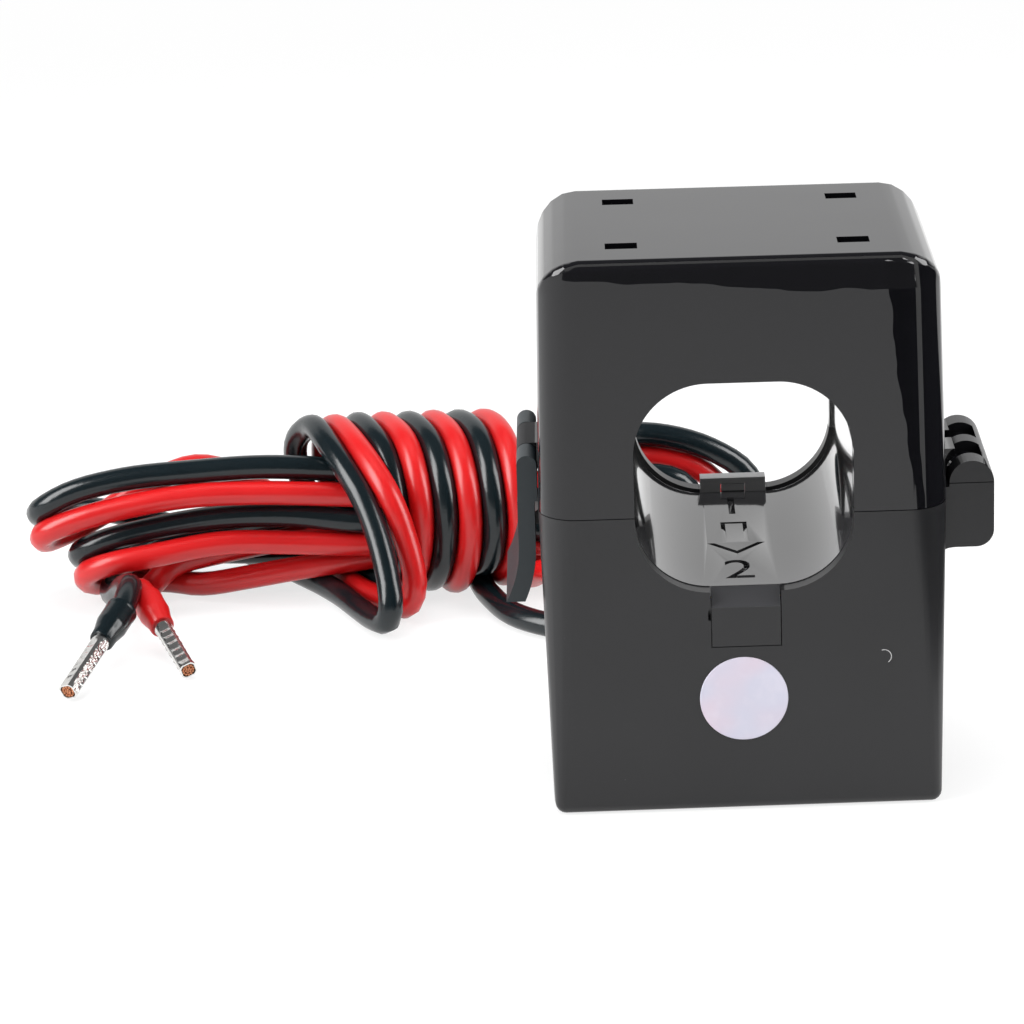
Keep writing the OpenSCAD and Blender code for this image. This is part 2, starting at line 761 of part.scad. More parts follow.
module red_lead_end() {
    color([0.85, 0.12, 0.10]) lead_end(red_end, red_ferrule_at, red_ferrule_turn);
}

module black_lead_end() {
    color([0.06, 0.08, 0.10]) lead_end(black_end, black_ferrule_at, black_ferrule_turn);
}

// Turns a piece that is drawn upright so that it lies along a lead's end
module at_end(start, turn) {
    translate(start) rotate([0, 0, turn]) rotate([0, 90, 0]) children();
}

// Insulating collar: wide where the cord enters, narrower round the ferrule tube
module ferrule_collar() {
    neck_r = ferrule_d / 2 + collar_neck_t;
    cord_hole_r = cord_d / 2 + exit_gap;
    rotate_extrude() polygon([
        [cord_hole_r, 0], [collar_d / 2, 0], [collar_d / 2, collar_wide_l],
        [neck_r, collar_wide_l + collar_taper_l], [neck_r, collar_l],
        [ferrule_d / 2, collar_l], [ferrule_d / 2 + ferrule_flare, collar_grip],
        [cord_hole_r, collar_grip]
    ]);
}

// Thin metal tube, flared inside the collar and straight up to its open end
module ferrule_tube() {
    bore_r = ferrule_d / 2 - ferrule_t;
    rotate_extrude() polygon([
        [bore_r + ferrule_flare, collar_grip], [ferrule_d / 2 + ferrule_flare, collar_grip],
        [ferrule_d / 2, collar_l], [ferrule_d / 2, collar_l + ferrule_l],
        [bore_r, collar_l + ferrule_l], [bore_r, collar_l]
    ]);
}

module bare_strands() {
    translate([0, 0, collar_grip])
        cylinder(d = ferrule_d - 2 * ferrule_t, h = collar_l - collar_grip + ferrule_l);
}

module red_collar() {
    color([0.85, 0.12, 0.10]) at_end(red_ferrule_at, red_ferrule_turn) ferrule_collar();
}

module black_collar() {
    color([0.06, 0.06, 0.07]) at_end(black_ferrule_at, black_ferrule_turn) ferrule_collar();
}

module red_ferrule() {
    color([0.80, 0.80, 0.80]) at_end(red_ferrule_at, red_ferrule_turn) ferrule_tube();
}

module black_ferrule() {
    color([0.80, 0.80, 0.80]) at_end(black_ferrule_at, black_ferrule_turn) ferrule_tube();
}

module red_strands() {
    color([0.72, 0.42, 0.28]) at_end(red_ferrule_at, red_ferrule_turn) bare_strands();
}

module black_strands() {
    color([0.72, 0.42, 0.28]) at_end(black_ferrule_at, black_ferrule_turn) bare_strands();
}

lower_housing();
lower_liner();
lower_core();
bobbin();
secondary_winding();
winding_tape();
hinge_pin();
round_label();
upper_housing();
upper_liner();
upper_core();
core_spring();
latch_lever();
latch_pin();
red_splice();
black_splice();
red_lead_run();
black_lead_run();
lead_hank();
red_lead_end();
black_lead_end();
red_collar();
black_collar();
red_ferrule();
black_ferrule();
red_strands();
black_strands();
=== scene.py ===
"""Looks of a split-core current transformer with its red and black secondary leads.

All lengths are millimetres in the classes below and metres in Blender. +X is
right, +Y is away from the front and +Z is up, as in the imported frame.
"""

from __future__ import annotations

import itertools
import logging
import math
from dataclasses import dataclass, field
from enum import Enum

import bpy
import numpy as np
from mathutils import Matrix, Vector


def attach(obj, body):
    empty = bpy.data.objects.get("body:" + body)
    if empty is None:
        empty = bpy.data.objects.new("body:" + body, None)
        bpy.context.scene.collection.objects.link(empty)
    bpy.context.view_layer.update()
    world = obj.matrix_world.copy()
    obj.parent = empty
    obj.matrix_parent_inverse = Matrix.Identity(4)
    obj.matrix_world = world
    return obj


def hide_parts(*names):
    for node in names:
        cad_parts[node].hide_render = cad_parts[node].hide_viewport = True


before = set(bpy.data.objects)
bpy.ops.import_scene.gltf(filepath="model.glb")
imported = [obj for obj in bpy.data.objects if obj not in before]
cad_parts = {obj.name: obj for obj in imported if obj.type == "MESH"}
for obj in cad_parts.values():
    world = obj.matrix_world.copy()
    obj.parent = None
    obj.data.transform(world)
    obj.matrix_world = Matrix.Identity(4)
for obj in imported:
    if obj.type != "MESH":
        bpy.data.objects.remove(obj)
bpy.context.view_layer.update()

MM = 0.001
log = logging.getLogger("current_transformer")

Point = tuple[float, float, float]
Pair = tuple[float, float]
Colour = tuple[float, float, float]
DUST: Colour = (0.35, 0.34, 0.33)


class Body(Enum):
    """The three bodies that move against each other."""

    LOWER = "lower_half"
    UPPER = "upper_half"
    LATCH = "latch"


class Signal:
    """One shader socket, so that shader maths reads as a Python expression."""

    def __init__(self, shader: Shader, socket: bpy.types.NodeSocket) -> None:
        """Wraps an output socket.

        Args:
            shader: The shader that owns the socket's node.
            socket: The output socket.
        """
        self.shader = shader
        self.socket = socket

    def _math(self, operation: str, *values: Signal | float) -> Signal:
        """Adds a Math node.

        Args:
            operation: The Math node's operation.
            values: What goes into its sockets, in order.

        Returns:
            The node's value.
        """
        settings = {"operation": operation}
        return self.shader.node("ShaderNodeMath", settings, dict(enumerate(values)))

    def __add__(self, other: Signal | float) -> Signal:
        """The sum."""
        return self._math("ADD", self, other)

    def __radd__(self, other: float) -> Signal:
        """The sum, with a number first."""
        return self._math("ADD", other, self)

    def __sub__(self, other: Signal | float) -> Signal:
        """The difference."""
        return self._math("SUBTRACT", self, other)

    def __rsub__(self, other: float) -> Signal:
        """The difference, with a number first."""
        return self._math("SUBTRACT", other, self)

    def __mul__(self, other: Signal | float) -> Signal:
        """The product."""
        return self._math("MULTIPLY", self, other)

    def __rmul__(self, other: float) -> Signal:
        """The product, with a number first."""
        return self._math("MULTIPLY", other, self)

    def size(self) -> Signal:
        """The value without its sign."""
        return self._math("ABSOLUTE", self)

    def root(self) -> Signal:
        """The square root."""
        return self._math("SQRT", self)

    def above(self, edge: float, soft: float) -> Signal:
        """A mask that rises from 0 to 1 over soft, centred on edge."""
        return self.shader.ramp(self, edge - soft / 2, edge + soft / 2)


class Shader:
    """A material's node tree, built from typed calls."""

    def __init__(self, name: str) -> None:
        """Makes an empty material.

        Args:
            name: The material's name.
        """
        self.material = bpy.data.materials.new(name)
        self.material.use_nodes = True
        self.tree = self.material.node_tree
        self.tree.nodes.clear()
        self.place = None

    def node(
        self,
        kind: str,
        settings: dict[str, object] | None = None,
        inputs: dict[int | str, object] | None = None,
        output: int | str = 0,
    ) -> Signal:
        """Adds any node.

        Args:
            kind: The node's type.
            settings: Its properties, which are set before its sockets.
            inputs: Values or signals for its sockets, by name or number.
            output: The output that is wanted.

        Returns:
            That output.
        """
        made = self.tree.nodes.new(kind)
        for key, value in (settings or {}).items():
            if key == "stops":
                self._set_stops(made.color_ramp, value)
            else:
                setattr(made, key, value)
        for key, value in (inputs or {}).items():
            self._feed(made.inputs[key], value)
        return Signal(self, made.outputs[output])

    def _feed(self, socket: bpy.types.NodeSocket, value: object) -> None:
        """Links or sets one socket.

        Args:
            socket: The input socket.
            value: A signal, or what fits the socket.
        """
        if isinstance(value, Signal):
            self.tree.links.new(value.socket, socket)
        elif socket.type == "RGBA":
            socket.default_value = (*value[:3], 1.0)
        else:
            socket.default_value = value

    @staticmethod
    def _set_stops(ramp: bpy.types.ColorRamp, stops: list[tuple[float, Colour]]) -> None:
        """Sets a colour ramp's stops.

        Args:
            ramp: The ramp.
            stops: Pairs of a position and a colour.
        """
        while len(ramp.elements) < len(stops):
            ramp.elements.new(1.0)
        for element, (position, colour) in zip(ramp.elements, stops):
            element.position = position
            element.color = (*colour, 1.0)

    def coordinates(self) -> Signal:
        """Object coordinates, in metres."""
        if self.place is None:
            self.place = self.node("ShaderNodeTexCoord", output="Object")
        return self.place

    def axes(self) -> list[Signal]:
        """Object coordinates as three values, in metres."""
        made = self.tree.nodes.new("ShaderNodeSeparateXYZ")
        self.tree.links.new(self.coordinates().socket, made.inputs[0])
        return [Signal(self, socket) for socket in made.outputs]

    def noise(self, size: float, detail: float = 2.0, rough: float = 0.5) -> Signal:
        """Noise with features of a stated size.

        Args:
            size: The size of a feature in millimetres.
            detail: Octaves.
            rough: Share that each octave keeps.

        Returns:
            A value from 0 to 1.
        """
        inputs = {
            "Vector": self.coordinates(),
            "Scale": 1 / (size * MM),
            "Detail": detail,
            "Roughness": rough,
        }
        return self.node("ShaderNodeTexNoise", {}, inputs)

    def specks(self, size: float, edge: float) -> Signal:
        """A mask of small scattered specks.

        Args:
            size: The size of a speck in millimetres.
            edge: The noise value from which there is a speck.

        Returns:
            A value from 0 to 1.
        """
        return self.noise(size, detail=4.0, rough=0.75).above(edge, 0.03)

    def ramp(self, value: Signal, low: float, high: float) -> Signal:
        """A value mapped so that low gives 0 and high gives 1, held at the ends."""
        inputs = {"Value": value, "From Min": low, "From Max": high}
        return self.node("ShaderNodeMapRange", {"clamp": True}, inputs)

    def mix(self, factor: Signal | float, first: object, second: object) -> Signal:
        """A blend of two colours.

        Args:
            factor: 0 for the first, 1 for the second.
            first: A colour or a signal.
            second: A colour or a signal.

        Returns:
            The colour.
        """
        made = self.tree.nodes.new("ShaderNodeMix")
        made.data_type = "RGBA"
        sockets = {socket.identifier: socket for socket in made.inputs}
        values = {"Factor_Float": factor, "A_Color": first, "B_Color": second}
        for key, value in values.items():
            self._feed(sockets[key], value)
        found = next(socket for socket in made.outputs if socket.identifier == "Result_Color")
        return Signal(self, found)

    def bump(self, height: Signal, depth: float, under: Signal | None = None) -> Signal:
        """A normal that is bent by a height.

        Args:
            height: From 0 to 1.
            depth: The height of 1 in millimetres.
            under: A normal below it, or None.

        Returns:
            The normal.
        """
        inputs = {"Height": height, "Distance": depth * MM}
        if under is not None:
            inputs["Normal"] = under
        return self.node("ShaderNodeBump", {}, inputs)

    def surface(self, **values: object) -> bpy.types.Material:
        """Finishes the material with one Principled shader.

        Args:
            values: Its sockets, with underscores for spaces.

        Returns:
            The material.
        """
        inputs = {key.replace("_", " "): value for key, value in values.items()}
        shaded = self.node("ShaderNodeBsdfPrincipled", {}, inputs)
        self.node_output(shaded)
        return self.material

    def glow(self, colour: Colour, strength: float) -> Signal:
        """A surface that shines by itself."""
        return self.node("ShaderNodeEmission", {}, {"Color": colour, "Strength": strength})

    def node_output(self, shaded: Signal) -> None:
        """Links a shader to the material's output."""
        made = self.tree.nodes.new("ShaderNodeOutputMaterial")
        self.tree.links.new(shaded.socket, made.inputs["Surface"])


@dataclass(frozen=True)
class Plastic:
    """Any plastic, with faint sinks and some dust."""

    name: str
    colour: Colour
    roughness: float
    sink: float = 14.0
    sink_depth: float = 0.05
    dust: float = 0.5
    dust_size: float = 0.9
    dust_edge: float = 0.76
    dust_rough: float = 0.3

    def ground(self, s: Shader) -> tuple[Signal, Signal]:
        """The sinks and the dust.

        Args:
            s: The shader.

        Returns:
            The sinks' height and the dust's mask.
        """
        return s.noise(self.sink, detail=1.0), s.specks(self.dust_size, self.dust_edge)


@dataclass(frozen=True)
class MouldedPlastic(Plastic):
    """Injection-moulded plastic with a fine texture."""

    grain: float = 0.35
    grain_depth: float = 0.004
    grain_rough: float = 0.10
    pale: float = 1.25
    haze: float = 0.002

    def tint(self, s: Shader, tone: Signal) -> Signal:
        """The colour, with nothing added on plain plastic."""
        return tone

    def build(self) -> bpy.types.Material:
        """Makes and returns the material."""
        s = Shader(self.name)
        cloud, speck = self.ground(s)
        grain = s.noise(self.grain, detail=3.0, rough=0.6)
        light = tuple(min(1.0, c * self.pale + self.haze) for c in self.colour)
        tone = s.mix(cloud, self.colour, light)
        tone = self.tint(s, s.mix(speck * self.dust, tone, DUST))
        rough = self.roughness + (grain - 0.5) * self.grain_rough + speck * self.dust_rough
        broad = s.bump(cloud, self.sink_depth)
        normal = s.bump(grain, self.grain_depth, under=broad)
        return s.surface(Base_Color=tone, Roughness=rough, Normal=normal)


@dataclass(frozen=True)
class Insulation:
    """Soft extruded insulation of a lead."""

    name: str
    colour: Colour
    scuff: Colour
    roughness: float = 0.30
    wave: float = 9.0
    wave_depth: float = 0.10
    wave_rough: float = 0.12
    deepest: float = 0.8
    grain: float = 0.5
    grain_depth: float = 0.012
    mark: float = 1.6
    mark_edge: float = 0.70
    mark_share: float = 0.35
    mark_rough: float = 0.15

    def build(self) -> bpy.types.Material:
        """Makes and returns the material."""
        s = Shader(self.name)
        cloud = s.noise(self.wave, detail=2.0)
        grain = s.noise(self.grain, detail=3.0, rough=0.6)
        mark = s.noise(self.mark, detail=6.0, rough=0.8).above(self.mark_edge, 0.05)
        deep = tuple(c * self.deepest for c in self.colour)
        tone = s.mix(cloud, deep, self.colour)
        tone = s.mix(mark * self.mark_share, tone, self.scuff)
        rough = self.roughness + (cloud - 0.5) * self.wave_rough + mark * self.mark_rough
        normal = s.bump(grain, self.grain_depth, under=s.bump(cloud, self.wave_depth))
        return s.surface(Base_Color=tone, Roughness=rough, Normal=normal)


@dataclass(frozen=True)
class Metal:
    """Bright or dull metal with fine scratches."""

    name: str
    colour: Colour
    roughness: float
    stain: float = 0.3
    stain_size: float = 1.2
    stain_edge: Pair = (0.55, 0.3)
    stain_rough: float = 0.2
    dullest: float = 0.6
    scratch: float = 0.25
    scratch_depth: float = 0.002

    def build(self) -> bpy.types.Material:
        """Makes and returns the material."""
        s = Shader(self.name)
        cloud = s.noise(self.stain_size, detail=4.0, rough=0.65)
        scratch = s.noise(self.scratch, detail=3.0, rough=0.7)
        dull = tuple(c * self.dullest for c in self.colour)
        tone = s.mix(cloud.above(*self.stain_edge) * self.stain, self.colour, dull)
        rough = self.roughness + (cloud - 0.5) * self.stain_rough
        normal = s.bump(scratch, self.scratch_depth)
        return s.surface(Base_Color=tone, Metallic=1.0, Roughness=rough, Normal=normal)


@dataclass(frozen=True)
class SatinShell(MouldedPlastic):
    """Satin black plastic with painted light on the sill's tab, a paler colour for light that
    reaches the tab, and with one stray fibre.
    """

    # Paler colour on the sill's tab: painted light, for light that reaches the tab.
    tab_painted_light: Colour = (0.32, 0.32, 0.325)
    tab_half: float = 3.85
    tab_from: Pair = (14.1, 26.2)
    tab_soft: Pair = (0.05, 0.02)
    fibre: Point = (15.2, 17.8, 0.8)
    fibre_width: float = 0.055
    fibre_open: Pair = (0.1, 0.15)
    fibre_slant: float = 0.5
    fibre_share: float = 0.7
    fibre_tone: Colour = (0.6, 0.6, 0.6)
    front: float = -15.8
    front_soft: float = 0.1

    def tint(self, s: Shader, tone: Signal) -> Signal:
        """The colour, with the painted light on the sill's tab and the fibre's colour added.

        Args:
            s: The shader.
            tone: The plain colour.

        Returns:
            The new colour.
        """
        x, y, z = s.axes()
        back, low = self.tab_from
        soft, side_soft = self.tab_soft
        # Mask of the painted light on the sill's tab at the back of the window.
        tab_painted_light = s.ramp(y, back * MM, (back + soft) * MM) * s.ramp(z, low * MM, (low + soft) * MM)
        tab_painted_light = tab_painted_light * (1 - s.ramp(x.size(), self.tab_half * MM, (self.tab_half + side_soft) * MM))
        cx, cz, reach = self.fibre
        dx, dz = x - cx * MM, z - cz * MM
        off = ((dx * dx + dz * dz).root() - reach * MM).size()
        fibre = 1 - s.ramp(off, self.fibre_width / 2 * MM, self.fibre_width * MM)
        opening = (edge * MM for edge in self.fibre_open)
        fibre = fibre * s.ramp(dx + dz * self.fibre_slant, *opening)
        fibre = fibre * (1 - s.ramp(y, self.front * MM, (self.front + self.front_soft) * MM))
        return s.mix(fibre * self.fibre_share, s.mix(tab_painted_light, tone, self.tab_painted_light), self.fibre_tone)


@dataclass(frozen=True)
class GlossShell(Plastic):
    """Polished black plastic whose front face rolls over gently near its edges."""

    roughness: float = 0.055
    top: float = 63.9
    right: float = 22.5
    front: float = -15.6
    top_roll: float = 3.2
    side_roll: float = 7.2
    top_depth: float = 0.90
    side_depth: float = 2.0
    front_soft: float = 0.2
    wave: float = 13.0
    waviness: float = 3.4
    side_waviness: float = 1.4
    top_lean: float = 0.05
    side_lean: float = 0.12
    crown: float = 2.0
    sink: float = 16.0
    sink_depth: float = 0.03
    dust: float = 0.35
    dust_size: float = 0.7
    dust_edge: float = 0.78
    boss: float = -22.75
    boss_soft: float = 0.1
    boss_roughness: float = 0.55

    def build(self) -> bpy.types.Material:
        """Makes and returns the material."""
        s = Shader(self.name)
        x, y, z = s.axes()
        wave = (s.noise(self.wave, detail=2.5) - 0.5) * (self.waviness * MM)
        lean = x * self.top_lean
        up = s.ramp(z + wave + lean, (self.top - self.top_roll) * MM, self.top * MM)
        lean = (z - self.top * MM) * self.side_lean
        across = x + wave * self.side_waviness + lean
        side = s.ramp(across, (self.right - self.side_roll) * MM, self.right * MM)
        on_front = s.ramp(y, self.front * MM, (self.front - self.front_soft) * MM)
        roll = (up * self.top_depth + side * self.side_depth) * on_front
        cloud, speck = self.ground(s)
        normal = s.bump(self.crown - roll, 1.0, under=s.bump(cloud, self.sink_depth))
        tone = s.mix(speck * self.dust, self.colour, DUST)
        boss = 1 - s.ramp(x, self.boss * MM, (self.boss + self.boss_soft) * MM)
        rough = self.roughness + speck * self.dust_rough + boss * self.boss_roughness
        return s.surface(Base_Color=tone, Roughness=rough, Normal=normal)


@dataclass(frozen=True)
class LinerPlastic(Plastic):
    """Shiny grey plastic of the liners, dark and satin on the tongue's plate, with painted light
    on the key at the back: a paler colour for light that reaches it.
    """

    colour: Colour = (0.045, 0.045, 0.048)
    # Paler colour on the key at the back of the window: painted light, for light that reaches it.
    key: Colour = (0.32, 0.32, 0.325)
    key_from: Pair = (13.85, 27.45)
    key_soft: Pair = (0.05, 0.10)
    plate: Colour = (0.008, 0.008, 0.009)
    plate_top: float = 24.2
    plate_soft: float = 0.05
    plate_rough: float = 0.24
    front: float = -15.8
    front_soft: float = 0.2
    roughness: float = 0.11
    sink: float = 12.0
    sink_depth: float = 0.03
    dust: float = 0.3
    dust_size: float = 0.8
    dust_edge: float = 0.77
    dust_rough: float = 0.2

    def build(self) -> bpy.types.Material:
        """Makes and returns the material."""
        s = Shader(self.name)
        _, y, z = s.axes()
        edges = ((self.plate_top - self.plate_soft) * MM, (self.plate_top + self.plate_soft) * MM)
        low = 1 - s.ramp(z, *edges)
        plate = low * (1 - s.ramp(y, self.front * MM, (self.front + self.front_soft) * MM))
        cloud, speck = self.ground(s)
        # Mask of the painted light on the key at the back of the window.
        back, above = (
            s.ramp(axis, start * MM, (start + soft) * MM)
            for axis, start, soft in zip((y, z), self.key_from, self.key_soft)
        )
        tone = s.mix(plate, self.colour, self.plate)
        tone = s.mix(back * above, tone, self.key)
        tone = s.mix(speck * self.dust, tone, DUST)
        return s.surface(
            Base_Color=tone,
            Roughness=self.roughness + plate * self.plate_rough + speck * self.dust_rough,
            Normal=s.bump(cloud, self.sink_depth),
            Coat_Weight=1 - plate,
        )


@dataclass(frozen=True)
class PearlFilm:
    """Pearly label film with a faint rainbow over lilac white."""

    name: str
    white: Colour = (0.50, 0.45, 0.55)
    warm: Colour = (0.56, 0.46, 0.51)
    cool: Colour = (0.44, 0.49, 0.57)
    veil: Colour = (0.58, 0.55, 0.62)
    rainbow: float = 0.45
    rainbow_size: float = 5.0
    rainbow_edge: Pair = (0.5, 0.3)
    veil_share: float = 0.3
    veil_size: float = 2.2
    veil_edge: Pair = (0.55, 0.2)
    roughness: float = 0.34
    depth: float = 0.01

    def build(self) -> bpy.types.Material:
        """Makes and returns the material."""
        s = Shader(self.name)
        broad = s.noise(self.rainbow_size, detail=1.0)
        fine = s.noise(self.veil_size, detail=2.0)
        tone = s.mix(broad.above(*self.rainbow_edge), self.warm, self.cool)
        tone = s.mix(self.rainbow, self.white, tone)
        tone = s.mix(fine.above(*self.veil_edge) * self.veil_share, tone, self.veil)
        normal = s.bump(fine, self.depth)
        return s.surface(Base_Color=tone, Roughness=self.roughness, Normal=normal)


class Bench:
    """Modelling by operators, with one piece in hand at a time."""

    WELD = 0.0005 * MM
    FLAT = math.radians(0.4)

    @staticmethod
    def take(piece: bpy.types.Object) -> None:
        """Makes a piece the only selected one, and the active one."""
        bpy.ops.object.select_all(action="DESELECT")
        piece.select_set(True)
        bpy.context.view_layer.objects.active = piece

    @staticmethod
    def settle_place(piece: bpy.types.Object) -> None:
        """Puts a piece's place into its mesh."""
        Bench.take(piece)
        bpy.ops.object.transform_apply(location=True, rotation=True, scale=True)

    @staticmethod
    def copy_of(node: str, name: str) -> bpy.types.Object:
        """Copies a CAD node's mesh and joins its corners.

        Args:
            node: The CAD node.
            name: The copy's name.

        Returns:
            The copy.
        """
        piece = bpy.data.objects.new(name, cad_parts[node].data.copy())
        bpy.context.scene.collection.objects.link(piece)
        Bench.take(piece)
        bpy.ops.object.mode_set(mode="EDIT")
        bpy.ops.mesh.select_all(action="SELECT")
        bpy.ops.mesh.remove_doubles(threshold=Bench.WELD)
        bpy.ops.mesh.dissolve_limited(angle_limit=Bench.FLAT)
        bpy.ops.object.mode_set(mode="OBJECT")
        return piece

    @staticmethod
    def face_out(piece: bpy.types.Object) -> bpy.types.Object:
        """Turns the faces of a closed piece outwards.

        Args:
            piece: The active piece, in object or edit mode.

        Returns:
            The piece, in object mode.
        """
        bpy.ops.object.mode_set(mode="EDIT")
        bpy.ops.mesh.select_all(action="SELECT")
        bpy.ops.mesh.normals_make_consistent(inside=False)
        bpy.ops.object.mode_set(mode="OBJECT")
        return piece

    @staticmethod
    def block(name: str, low: Point, high: Point) -> bpy.types.Object:
        """Adds a box between two corners.

        Args:
            name: Its name.
            low: The lowest corner in millimetres.
            high: The highest corner in millimetres.

        Returns:
            The box.
        """
        low, high = Vector(low) * MM, Vector(high) * MM
        bpy.ops.object.select_all(action="DESELECT")
        bpy.ops.mesh.primitive_cube_add(size=1.0, location=(low + high) / 2, scale=high - low)
        piece = bpy.context.object
        piece.name = name
        Bench.settle_place(piece)
        return piece

    @staticmethod
    def combine(
        piece: bpy.types.Object, tool: bpy.types.Object, operation: str = "DIFFERENCE"
    ) -> None:
        """Cuts or joins a piece with a tool, and removes the tool.

        Args:
            piece: The piece.
            tool: The other mesh.
            operation: The Boolean modifier's operation.
        """
        Bench.take(piece)
        made = piece.modifiers.new("shape", "BOOLEAN")
        made.operation, made.solver, made.object = operation, "EXACT", tool
        bpy.ops.object.modifier_apply(modifier=made.name)
        bpy.data.objects.remove(tool)

    @staticmethod
    def soften(piece: bpy.types.Object, degrees: float = 34.0, weight: int = 50) -> None:
        """Shades a piece smooth up to an angle, with its flats kept flat.

        Args:
            piece: The piece.
            degrees: The angle from which an edge stays sharp.
            weight: How much the larger faces count, 50 for their areas.
        """
        Bench.take(piece)
        bpy.ops.object.shade_smooth_by_angle(angle=math.radians(degrees))
        made = piece.modifiers.new("flats", "WEIGHTED_NORMAL")
        made.keep_sharp, made.weight = True, weight
        bpy.ops.object.modifier_apply(modifier=made.name)

    @staticmethod
    def turned(name: str, profile: list[Pair], sides: int) -> bpy.types.Object:
        """Turns a solid about the X axis, ring by ring.

        Args:
            name: Its name.
            profile: Places along X and radii, in millimetres, from one closed end to the other.
            sides: Sides of each ring.

        Returns:
            The solid.
        """
        bpy.ops.object.select_all(action="DESELECT")
        first, radius = profile[0]
        bpy.ops.mesh.primitive_circle_add(
            vertices=sides,
            radius=radius * MM,
            fill_type="NGON",
            location=(first * MM, 0, 0),
            rotation=(0, math.pi / 2, 0),
        )
        piece = bpy.context.object
        piece.name = name
        Bench.settle_place(piece)
        bpy.ops.object.mode_set(mode="EDIT")
        bpy.ops.mesh.select_mode(type="VERT")
        bpy.ops.mesh.select_all(action="SELECT")
        for (x0, r0), (x1, r1) in zip(profile[:-1], profile[1:]):
            move = {"value": ((x1 - x0) * MM, 0, 0)}
            bpy.ops.mesh.extrude_region_move(TRANSFORM_OT_translate=move)
            if r1 != r0:
                share, middle = r1 / r0, (x1 * MM, 0, 0)
                bpy.ops.transform.resize(value=(1, share, share), center_override=middle)
        return Bench.face_out(piece)

    @staticmethod
    def narrow(piece: bpy.types.Object, chosen: np.ndarray, share: float) -> None:
        """Moves chosen vertices towards the X axis.

        Args:
            piece: The piece.
            chosen: One truth value per vertex.
            share: What is left of their distance.
        """
        Bench.take(piece)
        bpy.ops.object.mode_set(mode="EDIT")
        bpy.ops.mesh.select_all(action="DESELECT")
        bpy.ops.object.mode_set(mode="OBJECT")
        piece.data.vertices.foreach_set("select", chosen)
        bpy.ops.object.mode_set(mode="EDIT")
        bpy.ops.transform.resize(value=(1, share, share), center_override=(0, 0, 0))
        bpy.ops.object.mode_set(mode="OBJECT")

    @staticmethod
    def place(piece: bpy.types.Object, start: Point, turn: float, dip: float) -> None:
        """Tips and turns a piece and moves its origin to a point.

        Args:
            piece: The piece, made along the X axis.
            start: The point in millimetres.
            turn: The angle about Z in degrees.
            dip: How far its far end points down, in degrees.
        """
        piece.location = Vector(start) * MM
        piece.rotation_euler = (0, math.radians(dip), math.radians(turn))
        Bench.settle_place(piece)

    @staticmethod
    def finish(
        piece: bpy.types.Object, material: bpy.types.Material, body: Body, slot: str, *nodes: str
    ) -> bpy.types.Object:
        """Dresses a piece and says what it is.

        Args:
            piece: The piece.
            material: Its finish.
            body: The body that it moves with.
            slot: The name of its material slot; not used.
            nodes: The CAD nodes that it stands for.

        Returns:
            The piece.
        """
        piece.data.materials.clear()
        piece.data.materials.append(material)
        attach(piece, body.value)
        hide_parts(*nodes)
        log.info("built %s", piece.name)
        return piece


@dataclass
class Housings:
    """The glossy upper and the satin lower half of the body."""

    half_depth: float = 16.0
    tongue_half: float = 3.8
    seat_depth: float = 1.3
    slit_width: float = 0.40
    slit_low: float = 22.7
    slit_high: float = 23.9
    hinge_face: float = 8.5
    hinge_axis: Pair = (25.7, 35.3)
    hinge_reach: Pair = (3.0, 4.0)
    line: float = 0.1
    past: float = 0.5
    satin: SatinShell = SatinShell("satin_shell", (0.005, 0.005, 0.006), 0.34)
    gloss: GlossShell = GlossShell("gloss_shell", (0.004, 0.004, 0.005))

    def build(self) -> None:
        """Builds both halves."""
        lower = Bench.copy_of("lower_housing", "lower_body")
        front = -self.half_depth
        slit = Bench.block(
            "slit",
            (-self.tongue_half - self.slit_width, front - self.past, self.slit_low),
            (-self.tongue_half + self.line, front + self.seat_depth, self.slit_high),
        )
        Bench.combine(lower, slit)
        x, z = self.hinge_axis
        left, right = self.hinge_reach
        line = Bench.block(
            "line",
            (x - left, -self.hinge_face - self.past, z - self.line),
            (x + right, -self.hinge_face + self.line, z),
        )
        Bench.combine(lower, line)
        Bench.soften(lower)
        Bench.finish(lower, self.satin.build(), Body.LOWER, "lower_shell", "lower_housing")
        upper = Bench.copy_of("upper_housing", "upper_body")
        Bench.soften(upper)
        Bench.finish(upper, self.gloss.build(), Body.UPPER, "upper_shell", "upper_housing")


